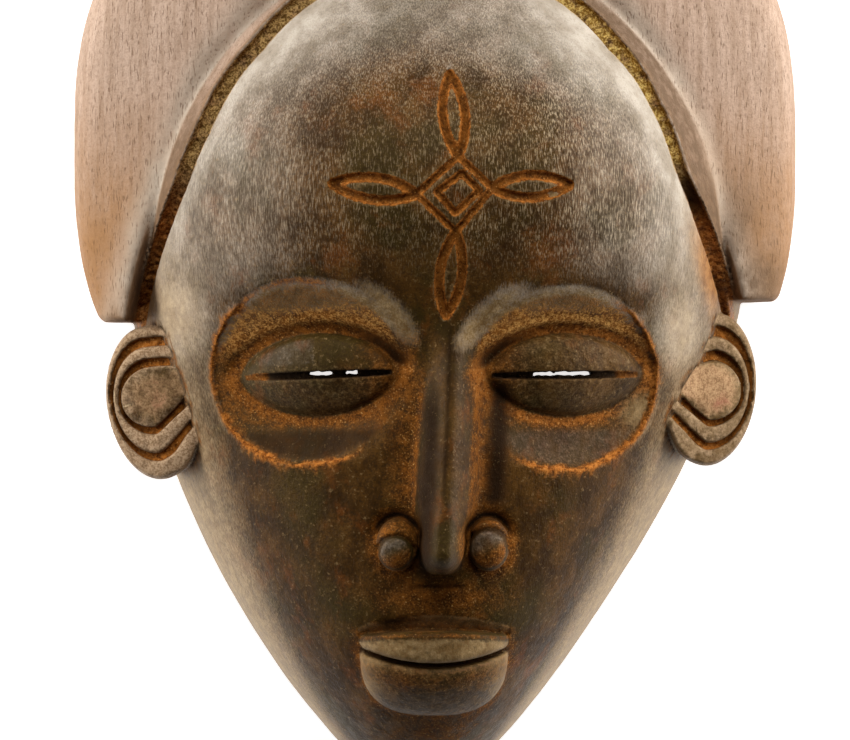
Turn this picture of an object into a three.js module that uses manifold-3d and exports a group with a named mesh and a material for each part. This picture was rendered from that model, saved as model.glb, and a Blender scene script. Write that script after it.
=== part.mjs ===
// A carved wooden face mask with a rounded coiffure, one solid, lying on its back rim with the face up.
// Millimetres. +Z is the way the face looks, +Y runs from the chin to the crown, and +X is the
// viewer's right. The origin is the middle of the flat back.
import * as THREE from "three";
import { mergeVertices } from "three/addons/utils/BufferGeometryUtils.js";
import Module from "manifold-3d";

const wasm = await Module();
wasm.setup();

// Face body: an egg in outline, a dome in section
const CHIN_Y = -146;
const CROWN_Y = 122;
const WIDEST_Y = 10;
const FACE_HALF_WIDTH = 92;
const JAW_POINT_Y = -160;
const JAW_TAPER = 1.62;
const CHIN_ROUNDING = 16;
const SECTION_POWER = 2.3;
const FACE_RISE = 88;
const FOREHEAD_RISE = 21;
const FOREHEAD_Y = 38;
const FOREHEAD_SPREAD = 48;
const JAW_LEAN = 5.5;
const FEATURE_LEAN = { x: 4.5, y: 31.4, bend: 3.13e-4 };
const WALL = 14;
const CROWN_WALL = 22;

// Coiffure: a broad arch around the forehead, its lower ends cut off level
const ARCH_CENTRE_Y = 35.4;
const ARCH_CENTRE_X = -0.6;
const GROOVE_RADIUS = 66;
const GROOVE_SPREAD = { from: 38, each: 0.16 };
const GROOVE_FLARE = { from: 5, each: 0.085, power: 1.6 };
const GROOVE_WIDTH = 5.4;
const GROOVE_DEPTH = 6.5;
const GROOVE_LOWEST = 30;
const GROOVE_FILLET = 2.5;
const HAIR_HALF_WIDTH = 107.2;
const HAIR_WIDEST_Y = 52.2;
const HAIR_TOP_Y = 146;
const HAIR_SQUARENESS = 2.5;
const HAIR_TUCK = 8.1;
const HAIR_TUCK_SPAN = 55.1;
const HAIR_TUCK_POWER = 3.2;
const HAIR_INNER_TOP = { crown: 66, end: 52 };
const HAIR_OUTER_TOP = { crown: 46, end: 38 };
const HAIR_BACK_INSET = 5;
const HAIR_SIDE_TOP = 18;
const HAIR_EDGE = { power: 8, root: 3 };
const HAIR_SLOPE_POWER = 1.6;
const HAIR_END_LEFT_Y = -3.2;
const HAIR_END_RIGHT_Y = 3;
const HAIR_LOW_ANGLE = -32;
const GROOVE_LOW_ANGLE = -25;

// Eyes: round sunken sockets, each with a slit lid like a coffee bean
const SOCKET_LEFT = { x: -38.5, y: -18.3, radius: 25.6 };
const SOCKET_RIGHT = { x: 37.2, y: -20.2, radius: 25 };
const SOCKET_DEPTH = 8.5;
const SOCKET_INNER_REACH = 0.17;
const LID_LEFT = { x: -33.6, y: -18.8, turn: 2.2 };
const LID_RIGHT = { x: 36.1, y: -18.8, turn: 0.5 };
const LID_HALF_LENGTH = 22.2;
const LID_HALF_HEIGHT = 11.7;
const LID_POINT = 0.82;
const LID_STEP = 1.8;
const LID_BULGE = 6.3;
const LID_FULLNESS = 0.7;
const SLIT_HALF_LENGTH = 20.5;
const SLIT_OPEN_LENGTH = 11;
const SLIT_HEIGHT = { middle: 1.7, end: 0.4 };
const SLIT_DEPTH = 3;
const EYE_SIDES = 30;

// Nose: a narrow ridge with a round knob on each side of its tip
const NOSE_TOP_Y = -2;
const NOSE_TIP_Y = -74.4;
const NOSE_TIP_ROUND = 7;
const NOSE_TOP_Z = 97.6;
const NOSE_FOOT_Z = 75;
const NOSE_SLOPE = 0.14;
const NOSE_HALF_WIDTH = 9.4;
const NOSE_TIP_HALF_WIDTH = 6.6;
const NOSE_FALL = 13;
const NOSE_TIP_DROP = 16;
const NOSE_TIP_PINCH = 0.55;
const WING_OFFSET = 12.8;
const WING_Y = -66.4;
const WING_RADIUS = { x: 5.9, y: 7.4, z: 10.5 };

// Mouth: two thick lips
const MOUTH_HALF_WIDTH = 20.9;
const LIP_TOP_Y = -86.4;
const LIP_EDGE_Y = -90.8;
const LIP_PARTING_Y = -100.3;
const LIP_BOTTOM_Y = -115.5;
const LIP_CORNER_RISE = 3.9;
const LIP_CORNER_DROP = { recess: 3.4, edge: 1.5 };
const LIP_RISE = { middle: 8.5, upperEnd: 1, lowerEnd: 2.6 };
const LIP_RECESS = { middle: 3.2, end: 0.8 };
const LIP_ROUNDING = 0.9;
const LOWER_LIP_END = 3.5;
const PARTING_GAP = 1.4;

// Ears: flat rings round a disc
const EAR_LEFT = { x: -82.8, y: -25.3, droop: 0.42, turn: -9 };
const EAR_RIGHT = { x: 79.4, y: -23.3, droop: -0.1, turn: 5 };
const EAR_DISC = { x: 9, y: 8.4 };
const EAR_RING_STEP = { x: 1.2, y: 3.5 };
const EAR_FRONT_Z = 48.5;
const EAR_BACK_Z = 16;
const EAR_GROOVE = 2.8;
const EAR_SIDE_DEPTH = 12;
const EAR_FALL = 0.38;
const EAR_SIDES = 24;

// Forehead motif: a diamond in a diamond, with a looped petal at each corner
const MOTIF_Y = 31.5;
const MOTIF_TURN = 3.2;
const DIAMOND = 10.4;
const INNER_DIAMOND = 5.6;
const PETAL_LENGTH = 23;
const PETAL_HALF_WIDTH = 3.7;
const STROKE_WIDTH = 2.1;
const STROKE_DEPTH = 1.3;

// Levels that cutters reach up to, that added pieces start from, and that lie under the back
const ABOVE = 140;
const INSIDE = 55;
const UNDER = 6;

const degrees = THREE.MathUtils.degToRad;
const { smoothstep, lerp } = THREE.MathUtils;
const range = (count) => Array.from({ length: count }, (_, i) => i);

// The outline's middle and the line through the features both lean to the viewer's left.
const outlineMiddle = (y) => -JAW_LEAN * smoothstep(-y, -20, 115);
const midline = (y) => FEATURE_LEAN.x - FEATURE_LEAN.bend * (FEATURE_LEAN.y - y) ** 2;

function halfWidth(y, inset = 0) {
  const crown = CROWN_Y - (CROWN_WALL / WALL) * inset;
  const full = FACE_HALF_WIDTH - inset;
  if (y >= WIDEST_Y) {
    const v = Math.min(1, (y - WIDEST_Y) / (crown - WIDEST_Y));
    return full * Math.sqrt(1 - v * v);
  }
  const u = Math.min(1, (WIDEST_Y - y) / (WIDEST_Y - JAW_POINT_Y - inset));
  const rounded = Math.min(1, (WIDEST_Y - y) / (WIDEST_Y - CHIN_Y - inset)) ** CHIN_ROUNDING;
  return full * (1 - u ** JAW_TAPER) * Math.sqrt(1 - rounded);
}

// Height of the dome along its middle line
function ridge(y, inset = 0) {
  const chin = CHIN_Y + inset;
  const crown = CROWN_Y - (CROWN_WALL / WALL) * inset;
  const v = Math.min(1, Math.abs(y - (chin + crown) / 2) / ((crown - chin) / 2));
  const bulge = FOREHEAD_RISE * Math.exp(-(((y - FOREHEAD_Y) / FOREHEAD_SPREAD) ** 2));
  return (FACE_RISE - inset + bulge) * Math.sqrt(1 - v ** 4);
}

function dome(x, y, inset = 0) {
  const off = x - midline(y);
  const side = Math.sign(off);
  const reach = side * (outlineMiddle(y) - midline(y)) + halfWidth(y, inset);
  const t = Math.min(1, Math.abs(off) / Math.max(reach, 1e-6));
  return ridge(y, inset) * Math.sqrt(1 - t ** SECTION_POWER);
}

// A closed body through rings of equally many points, flat or nearly so at both ends
function loft(rings) {
  const count = rings[0].length;
  const points = rings.flat();
  const faces = [];
  range(rings.length - 1).forEach((j) =>
    range(count).forEach((i) => {
      const a = j * count + i;
      const b = j * count + ((i + 1) % count);
      faces.push(a, b, b + count, a, b + count, a + count);
    }),
  );
  [0, rings.length - 1].forEach((j) => {
    const hub = points.length;
    const middle = rings[j].reduce((sum, p) => sum.add(p), new THREE.Vector3());
    points.push(middle.divideScalar(count));
    range(count).forEach((i) => {
      const a = j * count + i;
      const b = j * count + ((i + 1) % count);
      faces.push(...(j ? [hub, a, b] : [hub, b, a]));
    });
  });
  return solid(new THREE.BufferGeometry().setFromPoints(points).setIndex(faces));
}

function solid(geometry) {
  const g = geometry.clone();
  g.deleteAttribute("normal");
  g.deleteAttribute("uv");
  const merged = mergeVertices(g, 1e-4);
  const mesh = new wasm.Mesh({
    numProp: 3,
    vertProperties: new Float32Array(merged.attributes.position.array),
    triVerts: new Uint32Array(merged.index.array),
  });
  const made = new wasm.Manifold(mesh);
  if (made.volume() > 0) return made;
  mesh.triVerts = mesh.triVerts.map((_, i, all) => all[i - (i % 3) + ((3 - (i % 3)) % 3)]);
  return new wasm.Manifold(mesh);
}

function faceBody(inset, stations, around) {
  const chin = CHIN_Y + inset;
  const crown = CROWN_Y - (CROWN_WALL / WALL) * inset;
  const rings = range(stations).map((j) => {
    const y = lerp(chin, crown, (1 - Math.cos((Math.PI * (j + 0.35)) / (stations - 0.3))) / 2);
    return range(around).map((i) => {
      const a = (Math.PI * i) / (around - 1);
      const x = outlineMiddle(y) + halfWidth(y, inset) * Math.cos(a);
      const rim = i === 0 || i === around - 1;
      return new THREE.Vector3(x, y, rim ? -UNDER : dome(x, y, inset));
    });
  });
  return loft(rings);
}

// Distance from the arch's centre to the groove's middle, by angle above the horizontal
function grooveRadius(angle) {
  const spread = GROOVE_SPREAD.each * Math.max(0, GROOVE_SPREAD.from - angle);
  const flare = GROOVE_FLARE.each * Math.max(0, GROOVE_FLARE.from - angle) ** GROOVE_FLARE.power;
  return GROOVE_RADIUS + spread + flare;
}

function hairOutlineX(y) {
  if (y < HAIR_WIDEST_Y) {
    return HAIR_HALF_WIDTH - HAIR_TUCK * ((HAIR_WIDEST_Y - y) / HAIR_TUCK_SPAN) ** HAIR_TUCK_POWER;
  }
  const v = Math.min(1, (y - HAIR_WIDEST_Y) / (HAIR_TOP_Y - HAIR_WIDEST_Y));
  return HAIR_HALF_WIDTH * (1 - v ** HAIR_SQUARENESS) ** (1 / HAIR_SQUARENESS);
}

// Distance from the arch's centre to the coiffure's outline along a ray, by halving
function hairRadius(angle) {
  const [c, s] = [Math.cos(degrees(angle)), Math.sin(degrees(angle))];
  let [near, far] = [GROOVE_RADIUS, 2 * HAIR_HALF_WIDTH];
  range(40).forEach(() => {
    const mid = (near + far) / 2;
    const y = ARCH_CENTRE_Y + mid * s;
    const within = y < HAIR_TOP_Y && mid * c < hairOutlineX(y);
    [near, far] = within ? [mid, far] : [near, mid];
  });
  return near;
}

// Points of the arch at an angle from the left end over the crown to the right end
function archPoint(angle, radius, z) {
  const a = degrees(angle);
  const x = ARCH_CENTRE_X + radius * Math.cos(a);
  return new THREE.Vector3(x, ARCH_CENTRE_Y + radius * Math.sin(a), z);
}

const upperAngle = (angle) => (angle > 90 ? 180 - angle : angle);
const archAngles = (count, low) =>
  range(count).map((i) => lerp(low, 180 - low, i / (count - 1)));

function hairHeight(angle, share) {
  const up = smoothstep(upperAngle(angle), -20, 90);
  const inner = lerp(HAIR_INNER_TOP.end, HAIR_INNER_TOP.crown, up);
  const outer = lerp(HAIR_OUTER_TOP.end, HAIR_OUTER_TOP.crown, up);
  const pad = (1 - Math.abs(2 * share - 1) ** HAIR_EDGE.power) ** (1 / HAIR_EDGE.root);
  const lowest = share < 0.5 ? 0 : HAIR_SIDE_TOP;
  return Math.max(lerp(inner, outer, share ** HAIR_SLOPE_POWER) * pad, lowest);
}

function coiffure() {
  const shares = [0, 0.03, 0.15, 0.5, 0.8, 0.94, 0.99, 1];
  const rings = archAngles(41, HAIR_LOW_ANGLE).map((angle) => {
    const inner = grooveRadius(upperAngle(angle)) + GROOVE_WIDTH / 2 - 0.3;
    const outer = hairRadius(upperAngle(angle));
    const front = shares.map((share) =>
      archPoint(angle, lerp(inner, outer, share), hairHeight(angle, share)),
    );
    const back = [
      archPoint(angle, outer - HAIR_BACK_INSET, -UNDER),
      archPoint(angle, inner + HAIR_BACK_INSET, -UNDER),
    ];
    return [...front, ...back];
  });
  const far = 2 * HAIR_HALF_WIDTH;
  const left = block([-far, -1], [-far, HAIR_END_LEFT_Y], [-far, far]);
  const right = block([1, far], [-far, HAIR_END_RIGHT_Y], [-far, far]);
  return loft(rings).add(grooveBed()).subtract(left).subtract(right);
}

function block([x0, x1], [y0, y1], [z0, z1]) {
  const box = new THREE.BoxGeometry(x1 - x0, y1 - y0, z1 - z0);
  box.translate((x0 + x1) / 2, (y0 + y1) / 2, (z0 + z1) / 2);
  return solid(box);
}

function grooveFloor(angle) {
  const middle = archPoint(angle, grooveRadius(upperAngle(angle)), 0);
  return Math.max(dome(middle.x, middle.y) - GROOVE_DEPTH, GROOVE_LOWEST);
}

// The wood under the channel, which ties the coiffure to the face
function grooveBed() {
  const half = GROOVE_WIDTH / 2 + GROOVE_FILLET;
  const rings = archAngles(33, HAIR_LOW_ANGLE).map((angle) => {
    const radius = grooveRadius(upperAngle(angle));
    const floor = grooveFloor(angle) + GROOVE_FILLET;
    return [
      archPoint(angle, radius - half, -UNDER),
      archPoint(angle, radius - half, floor),
      archPoint(angle, radius + half, floor),
      archPoint(angle, radius + half, -UNDER),
    ];
  });
  return loft(rings);
}

// The channel between the forehead and the coiffure
function groove() {
  const half = GROOVE_WIDTH / 2;
  const rings = archAngles(37, GROOVE_LOW_ANGLE).map((angle) => {
    const radius = grooveRadius(upperAngle(angle));
    const floor = grooveFloor(angle);
    return [
      archPoint(angle, radius - half, ABOVE),
      archPoint(angle, radius - half, floor + GROOVE_FILLET),
      archPoint(angle, radius - 0.5 * half, floor),
      archPoint(angle, radius + 0.5 * half, floor),
      archPoint(angle, radius + half, floor + GROOVE_FILLET),
      archPoint(angle, radius + half, ABOVE),
    ];
  });
  return loft(rings);
}

// The socket's radius in a direction, drawn out towards the nose
function socketRadius(centre, angle) {
  const inward = Math.max(0, -Math.sign(centre.x) * Math.cos(angle));
  return centre.radius * (1 + SOCKET_INNER_REACH * inward ** 2);
}

function socketFloor(centre, x, y) {
  const angle = Math.atan2(y - centre.y, x - centre.x);
  const share = Math.hypot(x - centre.x, y - centre.y) / socketRadius(centre, angle);
  return dome(x, y) - SOCKET_DEPTH * (1 - share ** 2);
}

// A bowl with a crisp rim
function socket(centre) {
  const ring = (share, top) =>
    range(EYE_SIDES).map((i) => {
      const a = (2 * Math.PI * i) / EYE_SIDES;
      const radius = share * socketRadius(centre, a);
      const x = centre.x + radius * Math.cos(a);
      const y = centre.y + radius * Math.sin(a);
      return new THREE.Vector3(x, y, top ?? socketFloor(centre, x, y));
    });
  const bowl = [0.2, 0.5, 0.72, 0.88, 1, 1.02].map((share) => ring(share));
  return loft([...bowl, ring(1.02, ABOVE)]);
}

// A bean over the middle of the socket, its ends drawn to points
function lid(centre, around) {
  const a = degrees(centre.turn);
  const ring = ([share, height]) =>
    range(EYE_SIDES).map((i) => {
      const t = (2 * Math.PI * i) / EYE_SIDES;
      const u = LID_HALF_LENGTH * share * Math.cos(t);
      const v = LID_HALF_HEIGHT * share * Math.sin(t) * Math.abs(Math.sin(t)) ** (1 - LID_POINT);
      const x = centre.x + u * Math.cos(a) - v * Math.sin(a);
      const y = centre.y + u * Math.sin(a) + v * Math.cos(a);
      return new THREE.Vector3(x, y, height(x, y, share));
    });
  const top = (x, y, share) => {
    const foot = Math.max(dome(x, y) - SOCKET_DEPTH + LID_STEP, socketFloor(around, x, y) + 0.5);
    return foot + LID_BULGE * (1 - share ** 2) ** LID_FULLNESS;
  };
  const bean = [1, 0.94, 0.8, 0.6, 0.3].map((share) => [share, top]);
  return loft([[1, () => INSIDE], ...bean].map(ring));
}

// The slit of a lid: a cut that opens into the hollow along its middle and only scores its ends
function slit(centre) {
  const a = degrees(centre.turn);
  const rings = range(13).map((i) => {
    const u = SLIT_HALF_LENGTH * (i / 6 - 1);
    const x = centre.x + u * Math.cos(a);
    const y = centre.y + u * Math.sin(a);
    const near = Math.sqrt(1 - (i / 6 - 1) ** 2);
    const half = lerp(SLIT_HEIGHT.end, SLIT_HEIGHT.middle, near) / 2;
    const surface = dome(x, y) - SOCKET_DEPTH + LID_STEP;
    const floor = Math.abs(u) < SLIT_OPEN_LENGTH ? 0 : surface - SLIT_DEPTH;
    return [
      [half, floor],
      [half, ABOVE],
      [-half, ABOVE],
      [-half, floor],
    ].map(([v, z]) => new THREE.Vector3(x - v * Math.sin(a), y + v * Math.cos(a), z));
  });
  return loft(rings);
}

function nose() {
  const straight = NOSE_TIP_Y + NOSE_TIP_ROUND;
  const across = [-1, -0.8, -0.6, -0.36, -0.12, 0.12, 0.36, 0.6, 0.8, 1];
  const above = range(8).map((i) => lerp(NOSE_TOP_Y, straight, i / 7));
  const round = [0.45, 0.75, 0.93, 1].map((share) => straight - NOSE_TIP_ROUND * share);
  const rings = [...above, ...round].map((y) => {
    const down = (NOSE_TOP_Y - y) / (NOSE_TOP_Y - NOSE_TIP_Y);
    const past = Math.max(0, (straight - y) / NOSE_TIP_ROUND);
    const close = Math.sqrt(Math.max(0, 1 - past * past));
    const narrowing = smoothstep(down, 0.6, 0.95);
    const half = lerp(NOSE_HALF_WIDTH, NOSE_TIP_HALF_WIDTH, narrowing) * lerp(NOSE_TIP_PINCH, 1, close);
    const top = NOSE_TOP_Z + NOSE_SLOPE * (NOSE_TOP_Y - y) - NOSE_TIP_DROP * (1 - close);
    const arch = across.map((s) => {
      const x = midline(y) + s * half;
      return new THREE.Vector3(x, y, top - NOSE_FALL * Math.abs(s) ** 3);
    });
    const foot = [1, -1].map((s) => new THREE.Vector3(midline(y) + s * half, y, NOSE_FOOT_Z));
    return [...arch, ...foot];
  });
  return loft(rings);
}

function wing(side) {
  const knob = new THREE.SphereGeometry(1, 12, 8);
  knob.scale(WING_RADIUS.x, WING_RADIUS.y, WING_RADIUS.z);
  const x = midline(WING_Y) + side * WING_OFFSET;
  knob.translate(x, WING_Y, dome(x, WING_Y));
  return solid(knob);
}

// A bar across the mouth: section(x share) gives its outline as [y, z] pairs
function mouthBar(section) {
  const rings = range(17).map((i) => {
    const share = Math.sin(((i / 8 - 1) * Math.PI) / 2);
    const x = midline(LIP_PARTING_Y) + MOUTH_HALF_WIDTH * share;
    return section(share, x).map(([y, z]) => new THREE.Vector3(x, y, z));
  });
  return loft(rings);
}

const partingY = (share) => LIP_PARTING_Y + LIP_CORNER_RISE * share ** 2;
const lipEdgeY = (share) => LIP_EDGE_Y - LIP_CORNER_DROP.edge * share ** 2;
const lipSwell = (share) => Math.sqrt(Math.max(0, 1 - share ** 2));

function lipRecess() {
  return mouthBar((share, x) => {
    const top = LIP_TOP_Y - LIP_CORNER_DROP.recess * share ** 2;
    const edge = lipEdgeY(share) - 0.5;
    const deep = lerp(LIP_RECESS.end, LIP_RECESS.middle, lipSwell(share));
    return [
      [top + LIP_ROUNDING, dome(x, top) + 1],
      [top, dome(x, top)],
      [edge, dome(x, edge) - deep],
      [edge, ABOVE],
    ];
  });
}

function upperLip() {
  return mouthBar((share, x) => {
    const [edge, parting] = [lipEdgeY(share), partingY(share) + PARTING_GAP / 2];
    const front = dome(x, edge) + lerp(LIP_RISE.upperEnd, LIP_RISE.middle, lipSwell(share));
    return [
      [edge, INSIDE],
      [edge, front - LIP_ROUNDING],
      [edge - LIP_ROUNDING, front],
      [lerp(edge, parting, 0.6), front - 0.2],
      [parting + LIP_ROUNDING, front - 1.5 * LIP_ROUNDING],
      [parting, front - 3 * LIP_ROUNDING],
      [parting, INSIDE],
    ];
  });
}

function lowerLip() {
  return mouthBar((share, x) => {
    const parting = partingY(share) - PARTING_GAP / 2;
    const drop = (1 - Math.abs(share) ** 3.2) ** (1 / 2.2);
    const bottom = lerp(parting - LOWER_LIP_END, LIP_BOTTOM_Y, drop);
    const rise = lerp(LIP_RISE.lowerEnd, LIP_RISE.middle, lipSwell(share));
    const front = dome(x, parting) + rise;
    const foot = dome(x, bottom) + 0.5 * rise;
    return [
      [parting, INSIDE],
      [parting, front - 2.5 * LIP_ROUNDING],
      [parting - LIP_ROUNDING, front - LIP_ROUNDING],
      [lerp(parting, bottom, 0.3), lerp(front, foot, 0.12)],
      [lerp(parting, bottom, 0.7), lerp(front, foot, 0.55)],
      [bottom + LIP_ROUNDING / 2, foot],
      [bottom, foot - LIP_ROUNDING],
      [bottom, INSIDE],
    ];
  });
}

// Rings of the ear from its disc outwards: how many steps out, and how far below the front
const EAR_PROFILE = [
  [-0.97, 0],
  [-0.5, 0],
  [0, 0.4],
  [0.15, EAR_GROOVE],
  [0.85, EAR_GROOVE],
  [1, 0.5],
  [1.9, 0.7],
  [2.1, EAR_GROOVE],
  [2.85, EAR_GROOVE],
  [3, 0.8],
  [3.8, 1.4],
  [4, 3.5],
  [4, EAR_SIDE_DEPTH],
  [3.4, EAR_FRONT_Z - EAR_BACK_Z],
];

function ear(centre) {
  const turn = degrees(centre.turn);
  const side = Math.sign(centre.x);
  const rings = EAR_PROFILE.map(([out, below]) => {
    const rx = out < 0 ? EAR_DISC.x * (1 + out) : EAR_DISC.x + EAR_RING_STEP.x * out;
    const ry = out < 0 ? EAR_DISC.y * (1 + out) : EAR_DISC.y + EAR_RING_STEP.y * out;
    return range(EAR_SIDES).map((i) => {
      const a = (2 * Math.PI * i) / EAR_SIDES;
      const [u, v] = [rx * Math.cos(a), ry * Math.sin(a) - centre.droop * Math.max(0, out)];
      const x = u * Math.cos(turn) + v * Math.sin(turn);
      const y = v * Math.cos(turn) - u * Math.sin(turn);
      const fall = below < EAR_SIDE_DEPTH ? EAR_FALL * Math.max(-4, side * x) : 0;
      const z = EAR_FRONT_Z - below - fall;
      return new THREE.Vector3(centre.x + x, centre.y + y, z);
    });
  });
  return loft(rings);
}

// A cut along a line of [x, y] points that follows the forehead, narrower at its floor
function stroke(line) {
  const rings = line.map(([x, y], i) => {
    const [ax, ay] = line[Math.max(0, i - 1)];
    const [bx, by] = line[Math.min(line.length - 1, i + 1)];
    const length = Math.hypot(bx - ax, by - ay);
    const [nx, ny] = [(ay - by) / length, (bx - ax) / length];
    const corner = (across, lift) =>
      new THREE.Vector3(
        x + (nx * across * STROKE_WIDTH) / 2,
        y + (ny * across * STROKE_WIDTH) / 2,
        dome(x, y) + lift,
      );
    return [
      corner(1.4, 0.5),
      corner(0.35, -STROKE_DEPTH),
      corner(-0.35, -STROKE_DEPTH),
      corner(-1.4, 0.5),
    ];
  });
  return loft(rings);
}

function motif() {
  const cuts = [];
  const place = (line, quarter) => {
    const a = degrees(MOTIF_TURN + 90 * quarter);
    const turned = line.map(([u, v]) => [
      midline(MOTIF_Y) + u * Math.cos(a) - v * Math.sin(a),
      MOTIF_Y + u * Math.sin(a) + v * Math.cos(a),
    ]);
    cuts.push(stroke(turned));
  };
  range(4).forEach((quarter) => {
    [DIAMOND, INNER_DIAMOND].forEach((reach) =>
      place([[reach + 0.4, -0.4], [reach / 2, reach / 2], [-0.4, reach + 0.4]], quarter),
    );
    [-1, 1].forEach((hand) => {
      const petal = range(8).map((i) => {
        const share = i / 7;
        const bow = PETAL_HALF_WIDTH * Math.sin(Math.PI * share) ** 0.8;
        return [DIAMOND + PETAL_LENGTH * share, hand * bow];
      });
      place(petal, quarter);
    });
  });
  return cuts;
}

function carveMask() {
  let work = faceBody(0, 25, 27).add(coiffure()).subtract(groove());
  [ear(EAR_LEFT), ear(EAR_RIGHT)].forEach((piece) => {
    work = work.add(piece);
  });
  [socket(SOCKET_LEFT), socket(SOCKET_RIGHT)].forEach((cut) => {
    work = work.subtract(cut);
  });
  [lid(LID_LEFT, SOCKET_LEFT), lid(LID_RIGHT, SOCKET_RIGHT)].forEach((piece) => {
    work = work.add(piece);
  });
  work = work.add(nose()).subtract(lipRecess());
  [wing(-1), wing(1), upperLip(), lowerLip()].forEach((piece) => {
    work = work.add(piece);
  });
  const far = 2 * HAIR_HALF_WIDTH;
  const flatBack = block([-far, far], [-far, far], [-far, 0]);
  const hollow = faceBody(WALL, 15, 17);
  [...motif(), hollow, slit(LID_LEFT), slit(LID_RIGHT), flatBack].forEach((cut) => {
    work = work.subtract(cut);
  });
  return work;
}

function maskGeometry() {
  const mesh = carveMask().getMesh();
  const geometry = new THREE.BufferGeometry();
  geometry.setAttribute("position", new THREE.BufferAttribute(mesh.vertProperties, 3));
  geometry.setIndex(new THREE.BufferAttribute(mesh.triVerts, 1));
  geometry.computeVertexNormals();
  return geometry;
}

const patinatedWood = new THREE.MeshStandardMaterial({
  color: 0x4a3b2c,
  roughness: 0.5,
  metalness: 0,
});

const mask = new THREE.Mesh(maskGeometry(), patinatedWood);
mask.name = "mask";

const group = new THREE.Group();
group.add(mask);

export default group;
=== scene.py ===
"""The looks of a carved wooden face mask that lies on its back rim, seen from straight above.

The piece is grown from a signed field in millimetres with the same named sizes as the solid, so
that it keeps the solid's form, and finer carving, tool marks and dirt relief are added to it.
+Y runs from the chin to the crown, +Z is the way the face looks.
"""
import math
from types import SimpleNamespace
import bpy
import numpy as np
from numpy import clip, cos, exp, hypot, interp, maximum, minimum, radians, sin, sqrt, where
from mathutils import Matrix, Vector


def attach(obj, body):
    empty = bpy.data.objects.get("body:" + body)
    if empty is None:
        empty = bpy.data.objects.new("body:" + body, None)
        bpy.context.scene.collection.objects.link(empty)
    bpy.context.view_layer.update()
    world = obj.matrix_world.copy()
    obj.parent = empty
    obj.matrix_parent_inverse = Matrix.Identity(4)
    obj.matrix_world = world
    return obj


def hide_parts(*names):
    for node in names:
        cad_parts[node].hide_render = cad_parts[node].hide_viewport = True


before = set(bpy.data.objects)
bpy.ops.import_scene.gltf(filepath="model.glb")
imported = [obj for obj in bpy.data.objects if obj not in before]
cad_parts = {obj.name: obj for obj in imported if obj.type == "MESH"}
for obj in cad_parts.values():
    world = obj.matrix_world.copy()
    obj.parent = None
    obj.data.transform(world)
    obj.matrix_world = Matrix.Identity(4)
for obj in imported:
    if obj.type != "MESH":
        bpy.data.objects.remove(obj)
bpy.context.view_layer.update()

# ---- sizes, in millimetres
CHIN_Y, CROWN_Y, WIDEST_Y = -146, 122, 10
FACE_HALF_WIDTH, JAW_POINT_Y, JAW_TAPER, CHIN_ROUNDING = 92, -160, 1.62, 16
SECTION_POWER = 2.3
FRONT_Z = 60  # what is cut into the face lies above it
FACE_RISE, FOREHEAD_RISE, FOREHEAD_Y, FOREHEAD_SPREAD = 88, 21, 38, 48
JAW_LEAN = 5.5
LEAN_X, LEAN_Y, LEAN_BEND = 4.5, 31.4, 3.13e-4
WALL, CROWN_WALL = 14, 22

ARCH_X, ARCH_Y = -0.6, 35.4
GROOVE_RADIUS, GROOVE_DEPTH, GROOVE_LOWEST, GROOVE_FILLET = 66, 6.5, 30, 2.5
# Angle from the right, the shift of the groove's middle line, and its half width.
GROOVE_COURSE = [
    (-24, 0, 3.0), (-10, -1.0, 2.9), (-4, -1.2, 2.3), (2, -1.7, 1.8), (8, -2.1, 1.7),
    (20, -2.4, 1.7), (26, -1.9, 1.8), (38, -1.3, 2.4), (60, -0.8, 2.4), (90, 0, 2.4),
    (120, -0.8, 2.4), (138, -1.5, 2.3), (150, -1.7, 2.3), (162, -2.1, 2.3), (168, -1.8, 2.3),
    (176, -0.3, 2.3), (204, 0, 2.3),
]
GROOVE_ANGLES, GROOVE_SHIFTS, GROOVE_HALVES = zip(*GROOVE_COURSE)
GROOVE_LOW_ANGLE = -25
HAIR_HALF_WIDTH, HAIR_WIDEST_Y, HAIR_TOP_Y, HAIR_SQUARENESS = 107.2, 52.2, 146, 2.5
HAIR_TUCK, HAIR_TUCK_SPAN, HAIR_TUCK_POWER = 8.1, 55.1, 3.2
HAIR_INNER_CROWN, HAIR_INNER_END = 66, 52
HAIR_OUTER_CROWN, HAIR_OUTER_END = 46, 38
HAIR_BACK_INSET, HAIR_SIDE_TOP = 5, 18
HAIR_SLOPE_POWER, HAIR_LOW_ANGLE = 1.6, -34
HAIR_END_LEFT_Y, HAIR_END_RIGHT_Y = -3.2, 3.0
BED_LIP = 0.8

# Centre x and y and radius of each socket, centre x and y and turn of each lid.
SOCKETS = [(-38.5, -18.3, 25.6), (37.2, -20.2, 25.0)]
SOCKET_DEPTH, SOCKET_INNER_REACH, RIM_STEP = 8.5, 0.17, 1.3
LIDS = [(-33.6, -18.8, 2.2), (36.1, -18.8, 0.5)]
LID_HALF_LENGTH, LID_HALF_HEIGHT, LID_POINT = 22.2, 11.7, 0.82
LID_STEP, LID_BULGE, LID_FULLNESS = 1.8, 6.3, 0.7
TRENCH_DEPTH = 2.2
SLIT_HALF_LENGTH, SLIT_OPEN_LENGTH, SLIT_MIDDLE, SLIT_END = 20.5, 12.5, 2.0, 0.9
SLIT_DEPTH = 3.4
SLIT_HOLES = [((-2.9, 4.1), (7.8, 11.0)), ((-9.2, -3.9), (-3.3, 7.2))]

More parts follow.
